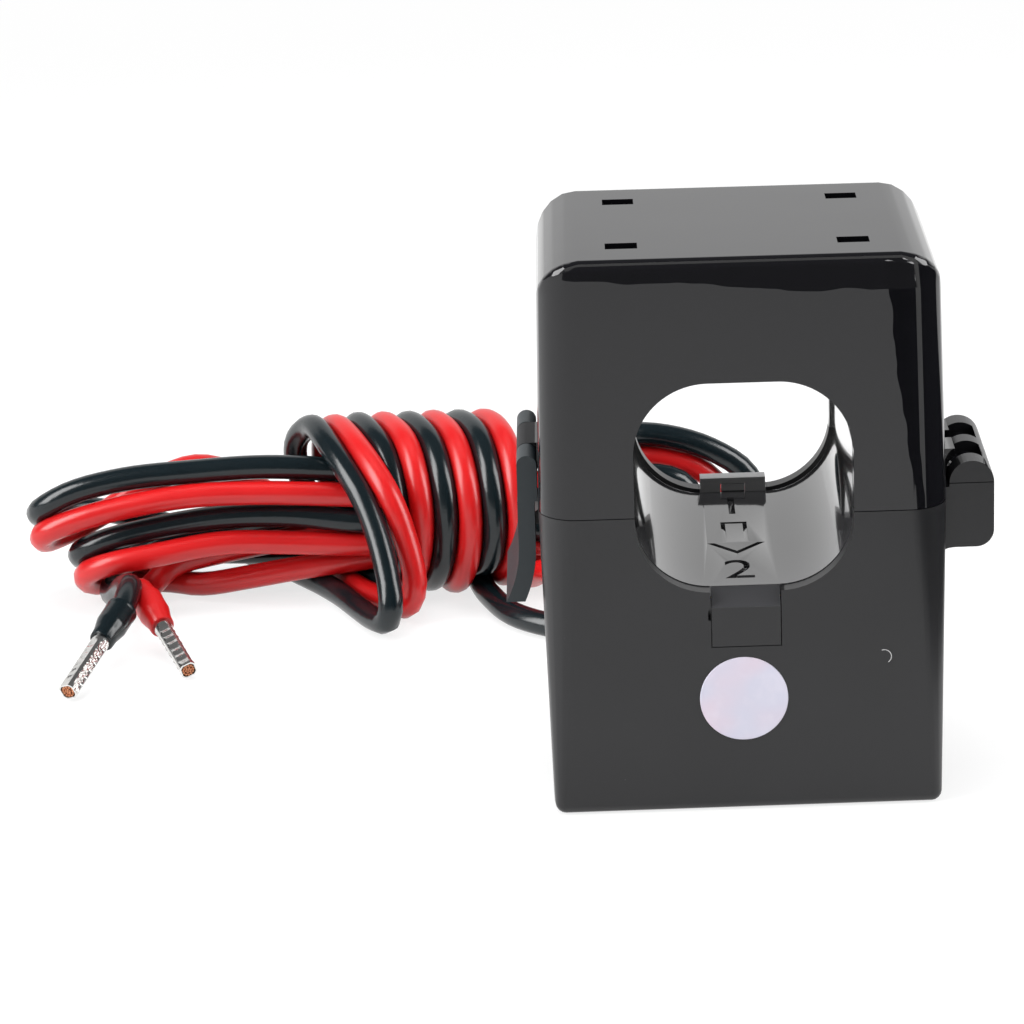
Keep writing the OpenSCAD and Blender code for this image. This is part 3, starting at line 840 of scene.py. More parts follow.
@dataclass
class Liners:
    """The shiny window liners, with an arrow and two numerals cut into the floor."""

    floor: float = 26.0
    rise: float = 1.5
    half_depth: float = 16.0
    marks_x: float = -0.4
    depth: float = 0.4
    overcut: float = 0.2
    weld: float = 0.001
    back_mark: float = 9.4
    arrow_from: float = 4.6
    arrow_to: float = -5.0
    front_mark: float = -9.8
    numeral: float = 7.6
    shaft: float = 1.5
    head: float = 3.3
    outline: float = 0.5
    point_share: float = 1.7
    middle_band: float = 0.1
    plastic: LinerPlastic = LinerPlastic("shiny_liner")

    def on_floor(self, piece: bpy.types.Object, y: float) -> bpy.types.Object:
        """Lays a cutter on the sloping floor, half sunk.

        Args:
            piece: The cutter, made flat about the origin.
            y: Where it goes along the window, in millimetres.

        Returns:
            The cutter.
        """
        slope = self.rise / (2 * self.half_depth)
        height = self.floor + slope * (y + self.half_depth)
        piece.location = Vector((self.marks_x, y, height)) * MM
        piece.rotation_euler = (math.atan(slope), 0, 0)
        Bench.settle_place(piece)
        return piece

    def numeral_tool(self, text: str, y: float) -> bpy.types.Object:
        """A cutter for one numeral.

        Args:
            text: The numeral.
            y: Its middle along the window, in millimetres.

        Returns:
            The cutter.
        """
        bpy.ops.object.select_all(action="DESELECT")
        bpy.ops.object.text_add()
        piece = bpy.context.object
        piece.data.body = text
        piece.data.size = self.numeral * MM
        piece.data.extrude = self.depth * MM
        piece.data.align_x, piece.data.align_y = "CENTER", "CENTER"
        piece.data.resolution_u = 4
        bpy.ops.object.convert(target="MESH")
        piece = bpy.context.object
        bpy.ops.object.mode_set(mode="EDIT")
        bpy.ops.mesh.select_all(action="SELECT")
        bpy.ops.mesh.remove_doubles(threshold=self.weld * MM)
        return self.on_floor(Bench.face_out(piece), y)

    def arrow_shape(self, inset: float) -> bpy.types.Object:
        """A flat arrow that points to the front.

        Args:
            inset: How far its outline stands inside the full one, in millimetres.

        Returns:
            The arrow, about the origin.
        """
        long = self.arrow_from - self.arrow_to
        top, tip = long / 2 - inset, -long / 2 + inset * self.point_share
        neck, wide = tip + self.head - inset, self.head - inset
        thick = self.depth + (self.overcut if inset else 0.0)
        bpy.ops.object.select_all(action="DESELECT")
        bpy.ops.mesh.primitive_cylinder_add(vertices=3, radius=1.0, depth=2 * thick * MM)
        piece = bpy.context.object
        for vertex in piece.data.vertices:
            off = vertex.co.x
            side = 0 if abs(off) < self.middle_band else math.copysign(1, off)
            vertex.co.x, vertex.co.y = side * wide * MM, (neck if side else tip) * MM
        Bench.face_out(piece)
        half = self.shaft - inset
        low, high = (-half, neck - self.overcut - inset, -thick), (half, top, thick)
        Bench.combine(piece, Bench.block("shaft", low, high), "UNION")
        return piece

    def build(self) -> None:
        """Builds both liners."""
        finish = self.plastic.build()
        lower = Bench.copy_of("lower_liner", "lower_window_liner")
        arrow = self.arrow_shape(0.0)
        Bench.combine(arrow, self.arrow_shape(self.outline))
        middle = (self.arrow_from + self.arrow_to) / 2
        Bench.combine(lower, self.on_floor(arrow, middle))
        Bench.combine(lower, self.numeral_tool("1", self.back_mark))
        Bench.combine(lower, self.numeral_tool("2", self.front_mark))
        Bench.soften(lower, weight=80)
        Bench.finish(lower, finish, Body.LOWER, "liner", "lower_liner")
        upper = Bench.copy_of("upper_liner", "upper_window_liner")
        Bench.soften(upper)
        Bench.finish(upper, finish, Body.UPPER, "liner", "upper_liner")


@dataclass
class Latch:
    """The slate latch that holds the upper half down."""

    plastic: MouldedPlastic = MouldedPlastic("slate_latch", (0.007, 0.012, 0.015), 0.46)

    def build(self) -> None:
        """Builds the latch."""
        latch = Bench.copy_of("latch_lever", "swinging_latch")
        Bench.soften(latch)
        Bench.finish(latch, self.plastic.build(), Body.LATCH, "latch", "latch_lever")


@dataclass
class Label:
    """The round pearly label on the front, left bare."""

    middle: Point = (-0.4, -16.0, 13.4)
    radius: float = 4.9
    thick: float = 0.14
    rim: float = 0.22
    edge: float = 0.03
    hub: float = 0.4
    levels: tuple[float, ...] = (0.4, 0.75, 0.95, 0.8)
    sides: int = 96

    def build(self) -> None:
        """Builds the label."""
        foot, shoulder, crest, flat = (-self.thick * share for share in self.levels)
        profile = [
            (self.thick, self.radius),
            (foot, self.radius),
            (shoulder, self.radius - self.edge),
            (crest, self.radius - self.rim / 2),
            (flat, self.radius - self.rim),
            (flat, self.hub),
        ]
        disc = Bench.turned("pearl_label", profile, self.sides)
        disc.rotation_euler = (0, 0, math.pi / 2)
        disc.location = Vector(self.middle) * MM
        Bench.settle_place(disc)
        Bench.soften(disc)
        Bench.finish(disc, PearlFilm("pearl_film").build(), Body.LOWER, "label", "round_label")


@dataclass
class CordEnd:
    """A crimped ferrule with its collar and the cut ends of the strands."""

    colour: str
    start: Point
    turn: float
    dip: float
    collar_length: float = 6.4
    wide_length: float = 3.6
    neck_start: float = 4.9
    bore: float = 2.6
    bead: Pair = (0.6, 0.75)
    edge: float = 0.1
    slope: float = 0.3
    drop: float = 0.05
    shoulder: float = 0.12
    lip: tuple[Pair, Pair] = ((0.15, 0.06), (0.0, 0.16))
    overlap: float = 0.8
    play: float = 0.02
    collar_sides: int = 48
    collar_angle: float = 40.0
    collar_radius: float = 2.0
    neck_radius: float = 1.58
    cord_radius: float = 1.58
    tube_radius: float = 1.15
    wall: float = 0.2
    mouth: float = 1.2
    length: float = 16.4
    tube_sides: int = 32
    tube_angle: float = 28.0
    dents: int = 6
    stations: tuple[int, int] = (4, 9)
    roll: float = 20.0
    flat_press: tuple[Pair, Pair] = ((24, 0.93), (14, 0.95))
    dent_press: Pair = (26, 0.86)
    dent_phase: Pair = (0.3, 0.95)
    plain: Pair = (1.4, 0.7)
    dent_start: float = 1.7
    dent_margin: float = 2.6
    core: tuple[float, float, float] = (3.2, 1.3, 1.25)
    core_share: float = 0.88
    core_hub: float = 0.2
    core_sides: int = 24
    wire_sides: int = 8
    wire_taper: float = 0.7
    wire_turn: float = 0.3
    wire_phase: Pair = (5.1, 2.3)
    wire_radius: float = 0.175
    wire_step: float = 0.325
    wire_show: float = 1.35
    wire_tip: float = 0.06
    wire_rings: tuple[int, ...] = (1, 6, 12)

    def collar(self) -> bpy.types.Object:
        """The insulating collar."""
        r, c, n = self.collar_radius, self.cord_radius, self.neck_radius
        wide, neck, end = self.wide_length, self.neck_start, self.collar_length
        bore = self.tube_radius + self.play
        profile = [
            (self.bore, c), (self.edge, c), (0.0, c + self.edge), (0.0, r - self.edge),
            (self.edge, r), (self.bead[0], r), (self.bead[1], r - self.drop),
            (wide - self.slope, r - self.drop), (wide, r - self.shoulder),
            (neck - self.slope, n + self.edge), (neck, n),
            *((end - back, n - thin) for back, thin in self.lip),
            (end, bore), (end - self.overlap, bore),
        ]
        piece = Bench.turned(f"{self.colour}_end_collar", profile, self.collar_sides)
        Bench.soften(piece, self.collar_angle)
        return piece

    def tube(self) -> bpy.types.Object:
        """The tinned tube, pressed square with a row of dents on each side."""
        begin, end, r = self.collar_length - self.overlap, self.length, self.tube_radius
        each, extra = self.stations
        stations = np.linspace(begin, end, each * self.dents + extra)
        profile = [(float(x), r) for x in stations]
        profile += [(end, r - self.wall), (end - self.mouth, r - self.wall)]
        piece = Bench.turned(f"{self.colour}_crimped_tube", profile, self.tube_sides)
        co = np.empty(len(piece.data.vertices) * 3)
        piece.data.vertices.foreach_get("co", co)
        x, y, z = (co.reshape(-1, 3) / MM).T
        turn = np.degrees(np.arctan2(z, y) - math.radians(self.roll))
        side = np.abs((turn + 45) % 90 - 45)
        crimped = (x > begin + self.plain[0]) & (x < end + 0.01)
        for reach, share in self.flat_press:
            Bench.narrow(piece, crimped & (side < reach), share)
        pitch = (end - begin - self.dent_margin) / self.dents
        phase = ((x - begin - self.dent_start) / pitch) % 1.0
        low, high = self.dent_phase
        reach, share = self.dent_press
        deep = crimped & (x < end - self.plain[1]) & (phase > low) & (phase < high)
        outer = np.hypot(y, z) > r - self.edge
        Bench.narrow(piece, deep & (side < reach) & outer, share)
        Bench.soften(piece, self.tube_angle)
        return piece

    def strands(self) -> bpy.types.Object:
        """The cut ends of the copper strands."""
        end, w = self.length, self.wire_radius
        inner = self.tube_radius * self.core_share - self.wall
        start, rim, face = self.core
        profile = [(start, inner), (end - rim, inner), (end - face, self.core_hub)]
        piece = Bench.turned(f"{self.colour}_wire_ends", profile, self.core_sides)
        across, outwards = self.wire_phase
        wires = [piece]
        for ring, count in enumerate(self.wire_rings):
            for k in range(count):
                tip = end + self.wire_tip * math.sin(across * k + outwards * ring)
                point = (tip, w * self.wire_taper)
                profile = [(end - self.wire_show, w), (tip - self.wire_tip, w), point]
                wire = Bench.turned("wire", profile, self.wire_sides)
                a = 2 * math.pi * k / count + self.wire_turn * ring
                reach = ring * self.wire_step
                wire.location = Vector((0, math.cos(a) * reach, math.sin(a) * reach)) * MM
                Bench.settle_place(wire)
                wires.append(wire)
        bpy.ops.object.select_all(action="DESELECT")
        for wire in wires:
            wire.select_set(True)
        bpy.context.view_layer.objects.active = piece
        bpy.ops.object.join()
        Bench.soften(piece, self.collar_angle)
        return piece

    def build(
        self, skin: bpy.types.Material, tin: bpy.types.Material, bare: bpy.types.Material
    ) -> list[bpy.types.Object]:
        """Builds the three pieces.

        Args:
            skin: The collar's finish.
            tin: The tube's finish.
            bare: The strands' finish.

        Returns:
            The pieces.
        """
        pieces = []
        for make, finish, slot, node in (
            (self.collar, skin, f"{self.colour}_pvc", "collar"),
            (self.tube, tin, "tinned", "ferrule"),
            (self.strands, bare, "copper", "strands"),
        ):
            piece = make()
            Bench.place(piece, self.start, self.turn, self.dip)
            pieces.append(Bench.finish(piece, finish, Body.LOWER, slot, f"{self.colour}_{node}"))
        return pieces


@dataclass(frozen=True)
class Pose:
    """The camera's place and framing."""

    place: Point = (-17.874, -426.061, 176.710)
    azimuth: float = -2.402
    elevation: float = 18.624
    roll: float = 1.054
    lens: float = 139.82
    sensor: float = 36.0
    shift: Pair = (-0.2205, -0.0266)
    clip: Pair = (0.01, 10.0)


class Studio:
    """The floor, the cards, the lamps, the world and the camera."""

    FLOOR_SIZE = 6.0
    FLOOR_COLOUR = (0.92, 0.92, 0.92)
    FLOOR_GLOW = (0.75, 0.25)
    FLOOR_FADE = (0.14, 0.5)
    HAZE = (0.55, 0.55, 0.56)
    HAZE_STRENGTH = 0.22
    WHITE = (1.0, 1.0, 1.0)
    DARK = 0.004

    def __init__(self, pose: Pose) -> None:
        """Keeps the camera's pose.

        Args:
            pose: The camera's place and framing.
        """
        self.pose = pose

    def make_camera(self) -> None:
        """Makes the camera."""
        pose = self.pose
        a, e, r = (math.radians(v) for v in (pose.azimuth, pose.elevation, pose.roll))
        ahead = Vector((-math.sin(a) * math.cos(e), math.cos(a) * math.cos(e), -math.sin(e)))
        right = Vector((math.cos(a), math.sin(a), 0))
        up = right.cross(ahead)
        across = right * math.cos(r) - up * math.sin(r)
        upward = up * math.cos(r) + right * math.sin(r)
        data = bpy.data.cameras.new("camera")
        data.lens, data.sensor_width = pose.lens, pose.sensor
        data.shift_x, data.shift_y = pose.shift
        data.clip_start, data.clip_end = pose.clip
        camera = bpy.data.objects.new("camera", data)
        turn = Matrix((across, upward, -ahead)).transposed()
        camera.matrix_world = Matrix.Translation(Vector(pose.place) * MM) @ turn.to_4x4()
        bpy.context.scene.collection.objects.link(camera)
        bpy.context.scene.camera = camera

    def make_floor(self) -> None:
        """Makes the pale floor, white to the camera and to mirrors."""
        bpy.ops.object.select_all(action="DESELECT")
        bpy.ops.mesh.primitive_plane_add(size=self.FLOOR_SIZE, location=(0, 0, 0))
        floor = bpy.context.object
        floor.name = "floor"
        s = Shader("pale_floor")
        rays = s.tree.nodes.new("ShaderNodeLightPath")
        seen, glossy, through = (
            Signal(s, rays.outputs[f"Is {kind} Ray"])
            for kind in ("Camera", "Glossy", "Transmission")
        )
        inputs = {"Color": self.FLOOR_COLOUR, "Roughness": 0.0}
        diffuse = s.node("ShaderNodeBsdfDiffuse", {}, inputs)
        glow = s.glow(self.WHITE, 1.0)
        x, y, _ = s.axes()
        near, more = self.FLOOR_GLOW
        fade = s.ramp((x * x + y * y).root(), *self.FLOOR_FADE)
        share = (seen + glossy + through) * (near + more * fade)
        both = s.node("ShaderNodeMixShader", {}, {0: share, 1: diffuse, 2: glow})
        s.node_output(both)
        floor.data.materials.append(s.material)

    def make_card(self, name: str, place: Point, turn: Point, size: Pair, glow: float) -> None:
        """Makes a card that only mirrors see.

        Args:
            name: Its name.
            place: Its middle in millimetres.
            turn: Its angles in degrees.
            size: Its width and height in millimetres.
            glow: How bright it is, 0 for black.
        """
        bpy.ops.object.select_all(action="DESELECT")
        bpy.ops.mesh.primitive_plane_add(size=1.0, location=Vector(place) * MM)
        card = bpy.context.object
        card.name = name
        card.rotation_euler = [math.radians(t) for t in turn]
        card.scale = (size[0] * MM, size[1] * MM, 1)
        s = Shader(name)
        s.node_output(s.glow(self.WHITE, glow))
        card.data.materials.append(s.material)
        card.visible_camera = card.visible_diffuse = card.visible_shadow = False

    def make_world(self) -> None:
        """Makes the world: soft grey light, white to the camera."""
        world = bpy.data.worlds.new("studio")
        bpy.context.scene.world = world
        world.use_nodes = True
        tree = world.node_tree
        tree.nodes.clear()
        rays = tree.nodes.new("ShaderNodeLightPath")
        mix = tree.nodes.new("ShaderNodeMixShader")
        out = tree.nodes.new("ShaderNodeOutputWorld")
        tree.links.new(rays.outputs["Is Camera Ray"], mix.inputs[0])
        skies = ((1, self.HAZE, self.HAZE_STRENGTH), (2, self.WHITE, 1.0))
        for slot, colour, strength in skies:
            sky = tree.nodes.new("ShaderNodeBackground")
            sky.inputs["Color"].default_value = (*colour, 1)
            sky.inputs["Strength"].default_value = strength
            tree.links.new(sky.outputs[0], mix.inputs[slot])
        tree.links.new(mix.outputs[0], out.inputs["Surface"])

    def make_lamp(self, name: str, place: Point, aim: Point, size: Pair, power: float) -> None:
        """Makes one soft lamp.

        Args:
            name: Its name.
            place: Where it stands, in millimetres.
            aim: The point that it faces, in millimetres.
            size: Its width and height in millimetres.
            power: Its power in watts.
        """
        data = bpy.data.lights.new(name, "AREA")
        data.shape = "RECTANGLE"
        data.size, data.size_y = size[0] * MM, size[1] * MM
        data.energy = power
        lamp = bpy.data.objects.new(name, data)
        lamp.location = Vector(place) * MM
        way = (Vector(aim) - Vector(place)).normalized()
        lamp.rotation_mode = "QUATERNION"
        lamp.rotation_quaternion = way.to_track_quat("-Z", "Y")
        bpy.context.scene.collection.objects.link(lamp)

    def light(self) -> None:
        """Makes the lamps and the world."""
        self.make_world()
        dark, aim, tall, broad = self.DARK, (0, 0, 30), (260, 420), (420, 300)
        self.make_card("white_card", (0, 750, 420), (90, 0, 0), (2200, 800), 0.9)
        self.make_card("front_dark_card", (322, -271, 1), (0, 0, 0), (550, 300), dark)
        self.make_card("right_dark_card", (330, -21, 1), (0, 0, 0), (542, 202), dark)
        self.make_lamp("left_box", (-420, -120, 260), aim, tall, 3.2)
        self.make_lamp("right_box", (420, -60, 240), aim, tall, 2.6)
        self.make_lamp("top_box", (-40, 60, 520), aim, broad, 3.0)
        self.make_lamp("front_box", (-60, -620, 420), aim, broad, 0.7)
        for name in ("top_box", "front_box"):
            bpy.data.objects[name].visible_glossy = False


class Route:
    """A lead's way, as a smooth curve through given points."""

    PARTS = 12
    TINY = 1e-6

    def __init__(self, points: list[Point]) -> None:
        """Keeps the points.

        Args:
            points: The points in millimetres.
        """
        self.points = np.array(points, float)

    def smooth(self, step: float) -> np.ndarray:
        """The curve, with points about one step apart.

        Args:
            step: The step in millimetres.

        Returns:
            The points in millimetres.
        """
        p = self.points
        p = np.vstack([2 * p[0] - p[1], p, 2 * p[-1] - p[-2]])
        found = []
        for a, b, c, d in zip(p[:-3], p[1:-2], p[2:-1], p[3:]):
            ta = 0.0
            spans = (max(np.linalg.norm(span), self.TINY) ** 0.5 for span in (b - a, c - b, d - c))
            tb, tc, td = itertools.accumulate(spans)
            for t in np.linspace(tb, tc, self.PARTS, endpoint=False):
                ab = ((tb - t) * a + (t - ta) * b) / (tb - ta)
                bc = ((tc - t) * b + (t - tb) * c) / (tc - tb)
                cd = ((td - t) * c + (t - tc) * d) / (td - tc)
                abc = ((tc - t) * ab + (t - ta) * bc) / (tc - ta)
                bcd = ((td - t) * bc + (t - tb) * cd) / (td - tb)
                found.append(((tc - t) * abc + (t - tb) * bcd) / (tc - tb))
        found.append(self.points[-1])
        return self.spaced(np.array(found), step)

    @staticmethod
    def spaced(line: np.ndarray, step: float) -> np.ndarray:
        """A line again, with points one step apart."""
        along = np.concatenate([[0], np.cumsum(np.linalg.norm(np.diff(line, axis=0), axis=1))])
        at = np.linspace(0, along[-1], max(2, round(along[-1] / step) + 1))
        return np.stack([np.interp(at, along, line[:, k]) for k in range(3)], axis=1)


@dataclass
class Ring:
    """One turn of a lead round the hank, given where it passes each side."""

    top: float
    front: float
    bottom: float
    back: float
    square: float = 0.05

    def points(self, radius: float, middle: Pair) -> list[Point]:
        """The turn from the back over the top and down the front to the bottom.

        Args:
            radius: The radius of the lead's centre line.
            middle: The hank's axis in Y and Z.

        Returns:
            Points along the turn.
        """
        found = []
        for turn in range(-90, 180, 30):
            a = math.radians(turn)
            if turn <= 0:
                share = math.sin(-a)
                x = self.top + (self.back - self.top) * share
            elif turn <= 90:
                x = self.top + (self.front - self.top) * math.sin(a)
            else:
                x = self.bottom + (self.front - self.bottom) * math.sin(a)
            far = radius * (1 + self.square * math.sin(2 * a) ** 2)
            found.append((x, middle[0] - far * math.sin(a), middle[1] + far * math.cos(a)))
        return found


@dataclass
class Leads:
    """The two secondary leads: their exits, the tied hank and the ferrules."""

    diameter: float = 3.1
    bevel_steps: int = 6
    exit_x: float = 3.5
    exit_z: float = 3.8
    start_y: float = 5.0
    ring_radius: float = 9.9
    hank_axis: Pair = (61.3, 11.5)
    step: float = 1.5
    red_end: Point = (-72.5, 44.3, 5.3)
    red_tilt: Pair = (-67, 13.9)
    black_end: Point = (-74.9, 38.3, 6.3)
    black_tilt: Pair = (-110, 17.3)
    settle_rounds: int = 60
    held: float = 26.0
    easing: float = 12.0
    own_reach: float = 3.2
    push_share: float = 0.5
    smoothing: float = 0.35
    red: Insulation = Insulation("red_insulation", (0.47, 0.006, 0.007), (0.53, 0.07, 0.06), 0.30)
    black: Insulation = Insulation(
        "black_insulation", (0.003, 0.007, 0.009), (0.05, 0.07, 0.07), 0.22
    )
    tin: Metal = Metal("tinned_copper", (0.80, 0.79, 0.77), 0.20)
    bare: Metal = Metal("bare_copper", (0.55, 0.24, 0.13), 0.35)
    black_rings: list[Ring] = field(
        default_factory=lambda: [
            Ring(-32.4, -28.8, -33.6, -36.2),
            Ring(-38.7, -34.8, -38.4, -42.3),
            Ring(-44.9, -40.2, -42.8, -48.4),
        ]
    )
    red_rings: list[Ring] = field(
        default_factory=lambda: [
            Ring(-29.1, -26.5, -30.8, -33.1),
            Ring(-35.5, -31.8, -36.0, -39.2),
            Ring(-41.8, -37.6, -40.6, -45.4),
        ]
    )

    def black_route(self) -> list[Point]:
        """The black lead from its splice to its ferrule."""
        points = [
            (self.exit_x, self.start_y, self.exit_z), (self.exit_x, 11, self.exit_z),
            (self.exit_x, 18, self.exit_z), (2.2, 24, 3), (-1.4, 31, 1.7), (-7, 35.6, 1.6),
            (-14, 38, 1.6), (-21, 40, 1.6), (-26.4, 44.6, 1.6), (-29.8, 52, 1.6),
            (-32, 58, 1.6), (-33.6, 64, 1.6),
        ]
        for ring in self.black_rings:
            points += ring.points(self.ring_radius, self.hank_axis)
            points += [(ring.bottom, self.hank_axis[0], self.diameter / 2)]
        points[-1] = (-44.2, 61.4, 1.6)
        points += [
            (-49.6, 68.8, 5.1), (-54.2, 70.6, 11.6), (-54.3, 68.3, 17.7), (-51.0, 63.6, 21.4),
            (-47.6, 56.2, 20.4), (-44.9, 50.9, 17.1), (-43.3, 47.2, 12.6), (-42.1, 43.4, 7.2),
            (-41.9, 41.6, 4.4), (-42.4, 41.8, 2.4), (-44.2, 44.8, 1.6), (-49.0, 54.5, 1.6),
            (-52.2, 59.8, 1.6), (-56.3, 64.6, 2.1), (-61.4, 66.7, 3.4), (-68.9, 68.6, 5.8),
            (-75.5, 68.6, 8.0), (-81.3, 67.4, 9.7), (-85.6, 63.6, 10.8), (-87.1, 59.1, 11.9),
            (-86.0, 56.6, 13.7), (-82.1, 56.0, 15.9), (-75.5, 56.2, 17.4), (-67.0, 56.2, 18.1),
            (-58.2, 56.2, 18.5), (-50.3, 56.8, 18.0), (-41.3, 57.4, 17.2), (-31.8, 57.4, 17.1),
            (-22.4, 58.5, 18.0), (-14.8, 61.4, 18.9), (-9.9, 63.6, 18.9), (-4.8, 63.6, 18.1),
            (-0.3, 63.6, 16.3), (3.5, 63.6, 13.5), (5.1, 63.1, 9.9), (4.0, 62.5, 6.4),
            (0.3, 61.4, 3.8), (-7.2, 59.3, 3.1), (-16.7, 56.2, 6.2), (-26.2, 54.3, 9.9),
            (-35.6, 53.9, 11.2), (-45.1, 54.5, 11.2), (-54.3, 55.7, 12.0), (-63.0, 56.0, 12.0),
            (-71.9, 56.0, 10.8), (-78.6, 55.7, 9.3), (-81.6, 56.8, 7.7), (-82.1, 60.0, 5.7),
            (-79.8, 63.1, 4.9), (-74.7, 64.2, 4.7), (-65.3, 63.6, 4.7), (-54.1, 62.5, 4.7),
            (-41.0, 61.7, 4.7), (-29.7, 61.4, 4.9), (-18.5, 62.1, 5.7), (-8.2, 60.9, 7.0),
            (-3.3, 59.9, 9.8), (-4.6, 59.3, 13.3), (-9.1, 59.3, 14.9), (-16.7, 59.9, 13.6),
            (-27.9, 61.4, 11.6), (-41.1, 62.0, 11.2), (-54.2, 61.4, 9.9), (-63.6, 60.8, 7.9),
            (-72.1, 60.6, 6.0), (-76.8, 59.8, 4.2), (-78.2, 56.4, 2.4), (-77.2, 52.6, 3.2),
            (-75.6, 48.2, 5.8), (-74.4, 44.2, 7.2), (-74.5, 41.0, 7.0),
            self.black_end, (-75.9, 35.6, 5.5),
        ]
        return points

    def red_route(self) -> list[Point]:
        """The red lead from its splice to its ferrule."""
        points = [
            (-self.exit_x, self.start_y, self.exit_z), (-self.exit_x, 11, self.exit_z),
            (-self.exit_x, 18, self.exit_z), (-4.6, 25, 3.8), (-8, 32, 4.4), (-14, 39, 6),
            (-19.5, 44, 7), (-23.2, 48.8, 6), (-25.6, 53.5, 4), (-27.4, 58, 2.4),
            (-29.2, 63.5, 1.7),
        ]
        for ring in self.red_rings:
            points += ring.points(self.ring_radius, self.hank_axis)
            points += [(ring.bottom, self.hank_axis[0], self.diameter / 2)]
        points[-1] = (-41.7, 61.4, 1.6)
        points += [
            (-45.9, 69.5, 5.2), (-49.6, 72.0, 11.3), (-50.0, 68.8, 18.2), (-48.0, 64.1, 21.2),
            (-44.6, 56.7, 20.5), (-41.3, 50.7, 16.2), (-39.8, 48.8, 10.8), (-38.9, 47.4, 5.8),
            (-39.2, 46.9, 3.6), (-40.1, 48.2, 2.0), (-42.4, 52.4, 1.6),
            (-45.7, 58.3, 1.6), (-50.2, 65.2, 2.3),
            (-54.8, 69.5, 6.5), (-60.5, 70.1, 11.6), (-67.3, 67.8, 15.1), (-74.0, 64.8, 13.6),
            (-79.6, 63.8, 10.4), (-84.3, 62.7, 8.4), (-86.6, 58.7, 8.8), (-86.3, 56.0, 10.7),
            (-82.4, 54.9, 12.5), (-76.1, 54.7, 14.1), (-67.3, 54.7, 15.4), (-58.4, 54.7, 15.5),
            (-49.9, 54.8, 15.0), (-41.3, 54.8, 14.5), (-31.9, 55.1, 14.4), (-22.4, 57.2, 14.8),
            (-14.8, 61.4, 15.7), (-9.9, 63.8, 15.7), (-6.1, 64.0, 15.1), (-2.4, 64.0, 13.8),
            (0.1, 64.0, 11.2), (-0.1, 63.6, 8.0), (-3.5, 62.7, 6.0), (-11.0, 58.7, 5.3),
            (-22.3, 55.7, 7.0), (-33.7, 54.9, 8.0), (-45.0, 54.9, 8.0), (-54.5, 54.9, 8.6),
            (-63.4, 54.5, 9.0), (-72.3, 53.4, 8.0), (-78.4, 53.4, 6.9), (-81.1, 55.3, 5.3),
            (-81.1, 58.7, 2.8), (-78.1, 61.6, 1.7), (-73.3, 61.6, 1.7), (-67.3, 59.5, 1.7),
            (-60.8, 58.3, 2.9), (-54.5, 57.6, 4.0), (-44.9, 57.4, 4.9), (-33.6, 57.4, 5.5),
            (-22.3, 57.9, 4.2), (-12.9, 57.9, 2.4), (-7.2, 61.0, 1.7), (-6.8, 65.2, 4.0),
            (-10.9, 66.3, 7.6), (-20.3, 65.2, 8.4), (-33.5, 62.3, 8.1), (-44.8, 61.1, 8.1),
            (-56.1, 61.2, 6.8), (-65.5, 60.8, 5.4), (-70.5, 60.2, 4.2), (-73.6, 56.8, 2.3),
            (-74.3, 52.6, 2.9), (-73.7, 48.8, 5.0), (-73.1, 46.2, 5.6),
            self.red_end, (-71.4, 41.6, 4.6),
        ]
        return points

    def settle(self, lines: list[np.ndarray]) -> list[np.ndarray]:
        """Lets strands that cut into each other push each other clear.

        Args:
            lines: The centre lines in millimetres.

        Returns:
            The same lines, with neighbouring strands at least a diameter apart.
        """
        start = np.vstack(lines)
        owner = np.concatenate([np.full(len(line), k) for k, line in enumerate(lines)])
        order = np.concatenate([np.arange(len(line)) for line in lines])
        count = np.concatenate([np.full(len(line), len(line)) for line in lines])
        ends = np.minimum(order, count - 1 - order) * self.step
        free = np.clip((ends - self.held) / self.easing, 0.0, 1.0)[:, None]
        along = np.abs(order[:, None] - order[None, :]) * self.step
        near = (owner[:, None] == owner[None, :]) & (along < self.own_reach * self.diameter)
        moved = np.zeros_like(start)
        for _ in range(self.settle_rounds):
            now = start + moved
            gap = now[:, None, :] - now[None, :, :]
            far = np.sqrt((gap**2).sum(axis=2)) + Route.TINY
            push = np.where(near, 0.0, np.clip(self.diameter - far, 0.0, None))
            step = (gap / far[:, :, None] * push[:, :, None]).sum(axis=1)
            share = np.maximum((push > 0).sum(axis=1), 1)[:, None]
            moved += free * step / share * self.push_share
            for k in range(len(lines)):
                part = moved[owner == k]
                part[1:-1] += self.smoothing * ((part[:-2] + part[2:]) / 2 - part[1:-1])
                moved[owner == k] = part
            low = self.diameter / 2 - (start + moved)[:, 2]
            moved[:, 2] += np.clip(low, 0.0, None)
        settled = start + moved
        return [settled[owner == k] for k in range(len(lines))]

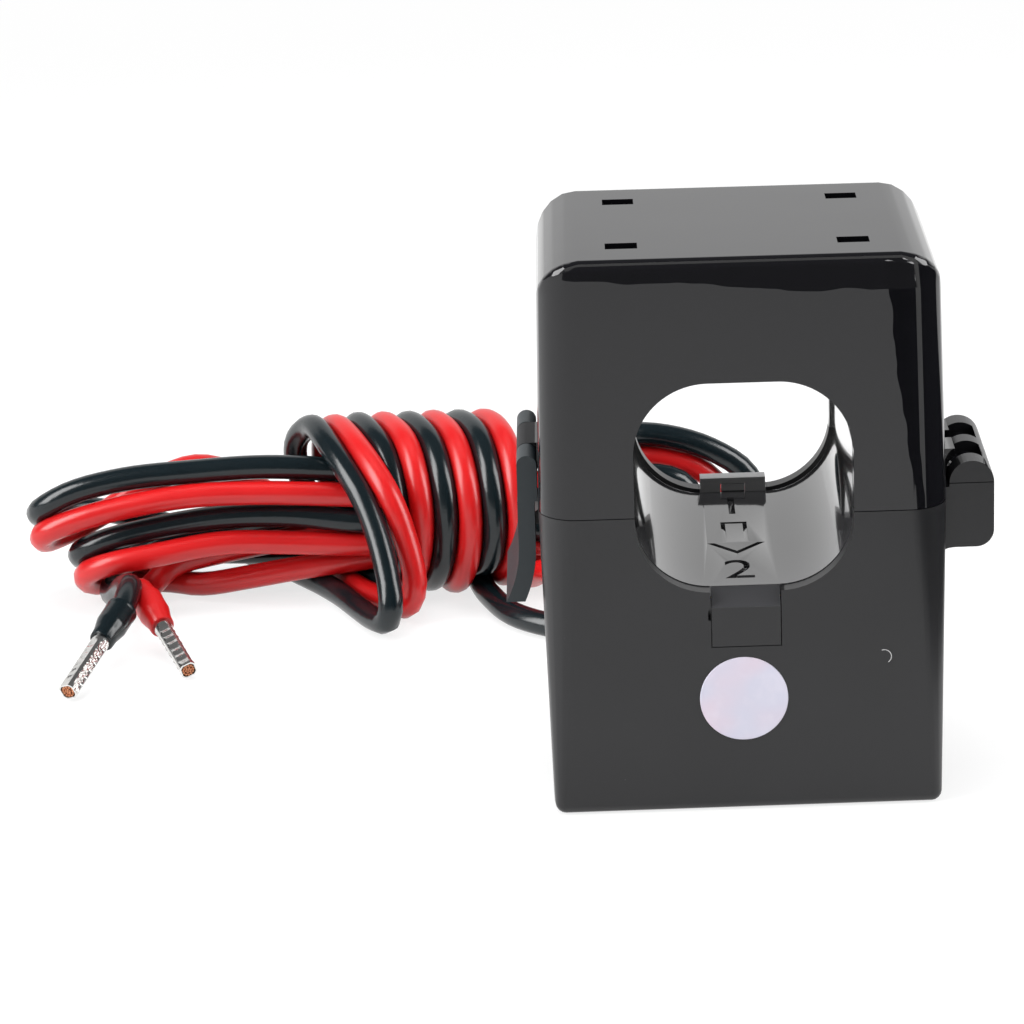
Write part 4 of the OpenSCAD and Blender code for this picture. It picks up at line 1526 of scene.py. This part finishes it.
    def make_cord(
        self, name: str, line: np.ndarray, finish: bpy.types.Material
    ) -> bpy.types.Object:
        """Makes one lead as a round curve.

        Args:
            name: Its name.
            line: Its centre line in millimetres.
            finish: Its material.

        Returns:
            The curve object.
        """
        line = line * MM
        data = bpy.data.curves.new(name, "CURVE")
        data.dimensions = "3D"
        data.bevel_depth = self.diameter / 2 * MM
        data.bevel_resolution = self.bevel_steps
        data.use_fill_caps = True
        spline = data.splines.new("POLY")
        spline.points.add(len(line) - 1)
        flat = np.hstack([line, np.ones((len(line), 1))]).ravel()
        spline.points.foreach_set("co", flat)
        spline.use_smooth = True
        data.materials.append(finish)
        cord = bpy.data.objects.new(name, data)
        bpy.context.scene.collection.objects.link(cord)
        length = float(np.linalg.norm(np.diff(line, axis=0), axis=1).sum())
        log.info("%s is %.3f m long", name, length)
        cord["length"] = length
        return cord

    def build(self) -> None:
        """Makes both leads with their splices and ferrules."""
        red, black = self.red.build(), self.black.build()
        tin, bare = self.tin.build(), self.bare.build()
        dress("red_splice", red)
        dress("black_splice", black)
        ends = {
            "red": CordEnd("red", self.red_end, *self.red_tilt).build(red, tin, bare),
            "black": CordEnd("black", self.black_end, *self.black_tilt).build(black, tin, bare),
        }
        ways = (self.red_route(), self.black_route())
        lines = self.settle([Route(way).smooth(self.step) for way in ways])
        red_cord = self.make_cord("red_lead", lines[0], red)
        black_cord = self.make_cord("black_lead", lines[1], black)
        for cord, side, colour in ((red_cord, -1, "red"), (black_cord, 1, "black")):
            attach(cord, Body.LOWER.value)
            stood = [f"{colour}_lead_run", f"{colour}_lead_end"]
            if colour == "red":
                stood.append("lead_hank")
            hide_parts(*stood)
            del cord["length"]


def dress(node: str, finish: bpy.types.Material) -> None:
    """Gives a CAD node a finish.

    Args:
        node: The node's name.
        finish: The material.
    """
    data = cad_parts[node].data
    data.materials.clear()
    data.materials.append(finish)
    log.info("dressed %s", node)


def main() -> None:
    """Builds the studio and every piece in order."""
    logging.basicConfig(level=logging.INFO, format="%(name)s: %(message)s")
    bpy.context.scene.view_settings.view_transform = "Standard"
    studio = Studio(Pose())
    studio.make_camera()
    leads = Leads()
    leads.build()
    studio.make_floor()
    studio.light()
    for part in (Housings(), Liners(), Latch(), Label()):
        part.build()
    steel = Metal("pin_steel", (0.6, 0.6, 0.62), 0.25).build()
    for node in ("hinge_pin", "latch_pin", "core_spring", "lower_core", "upper_core"):
        dress(node, steel)
    dress("secondary_winding", bpy.data.materials["bare_copper"])
    nylon = MouldedPlastic("natural_nylon", (0.62, 0.60, 0.52), 0.4, dust=0.0)
    tape = MouldedPlastic("polyester_tape", (0.72, 0.50, 0.06), 0.22, dust=0.0)
    dress("bobbin", nylon.build())
    dress("winding_tape", tape.build())


if __name__ == "__main__":
    main()
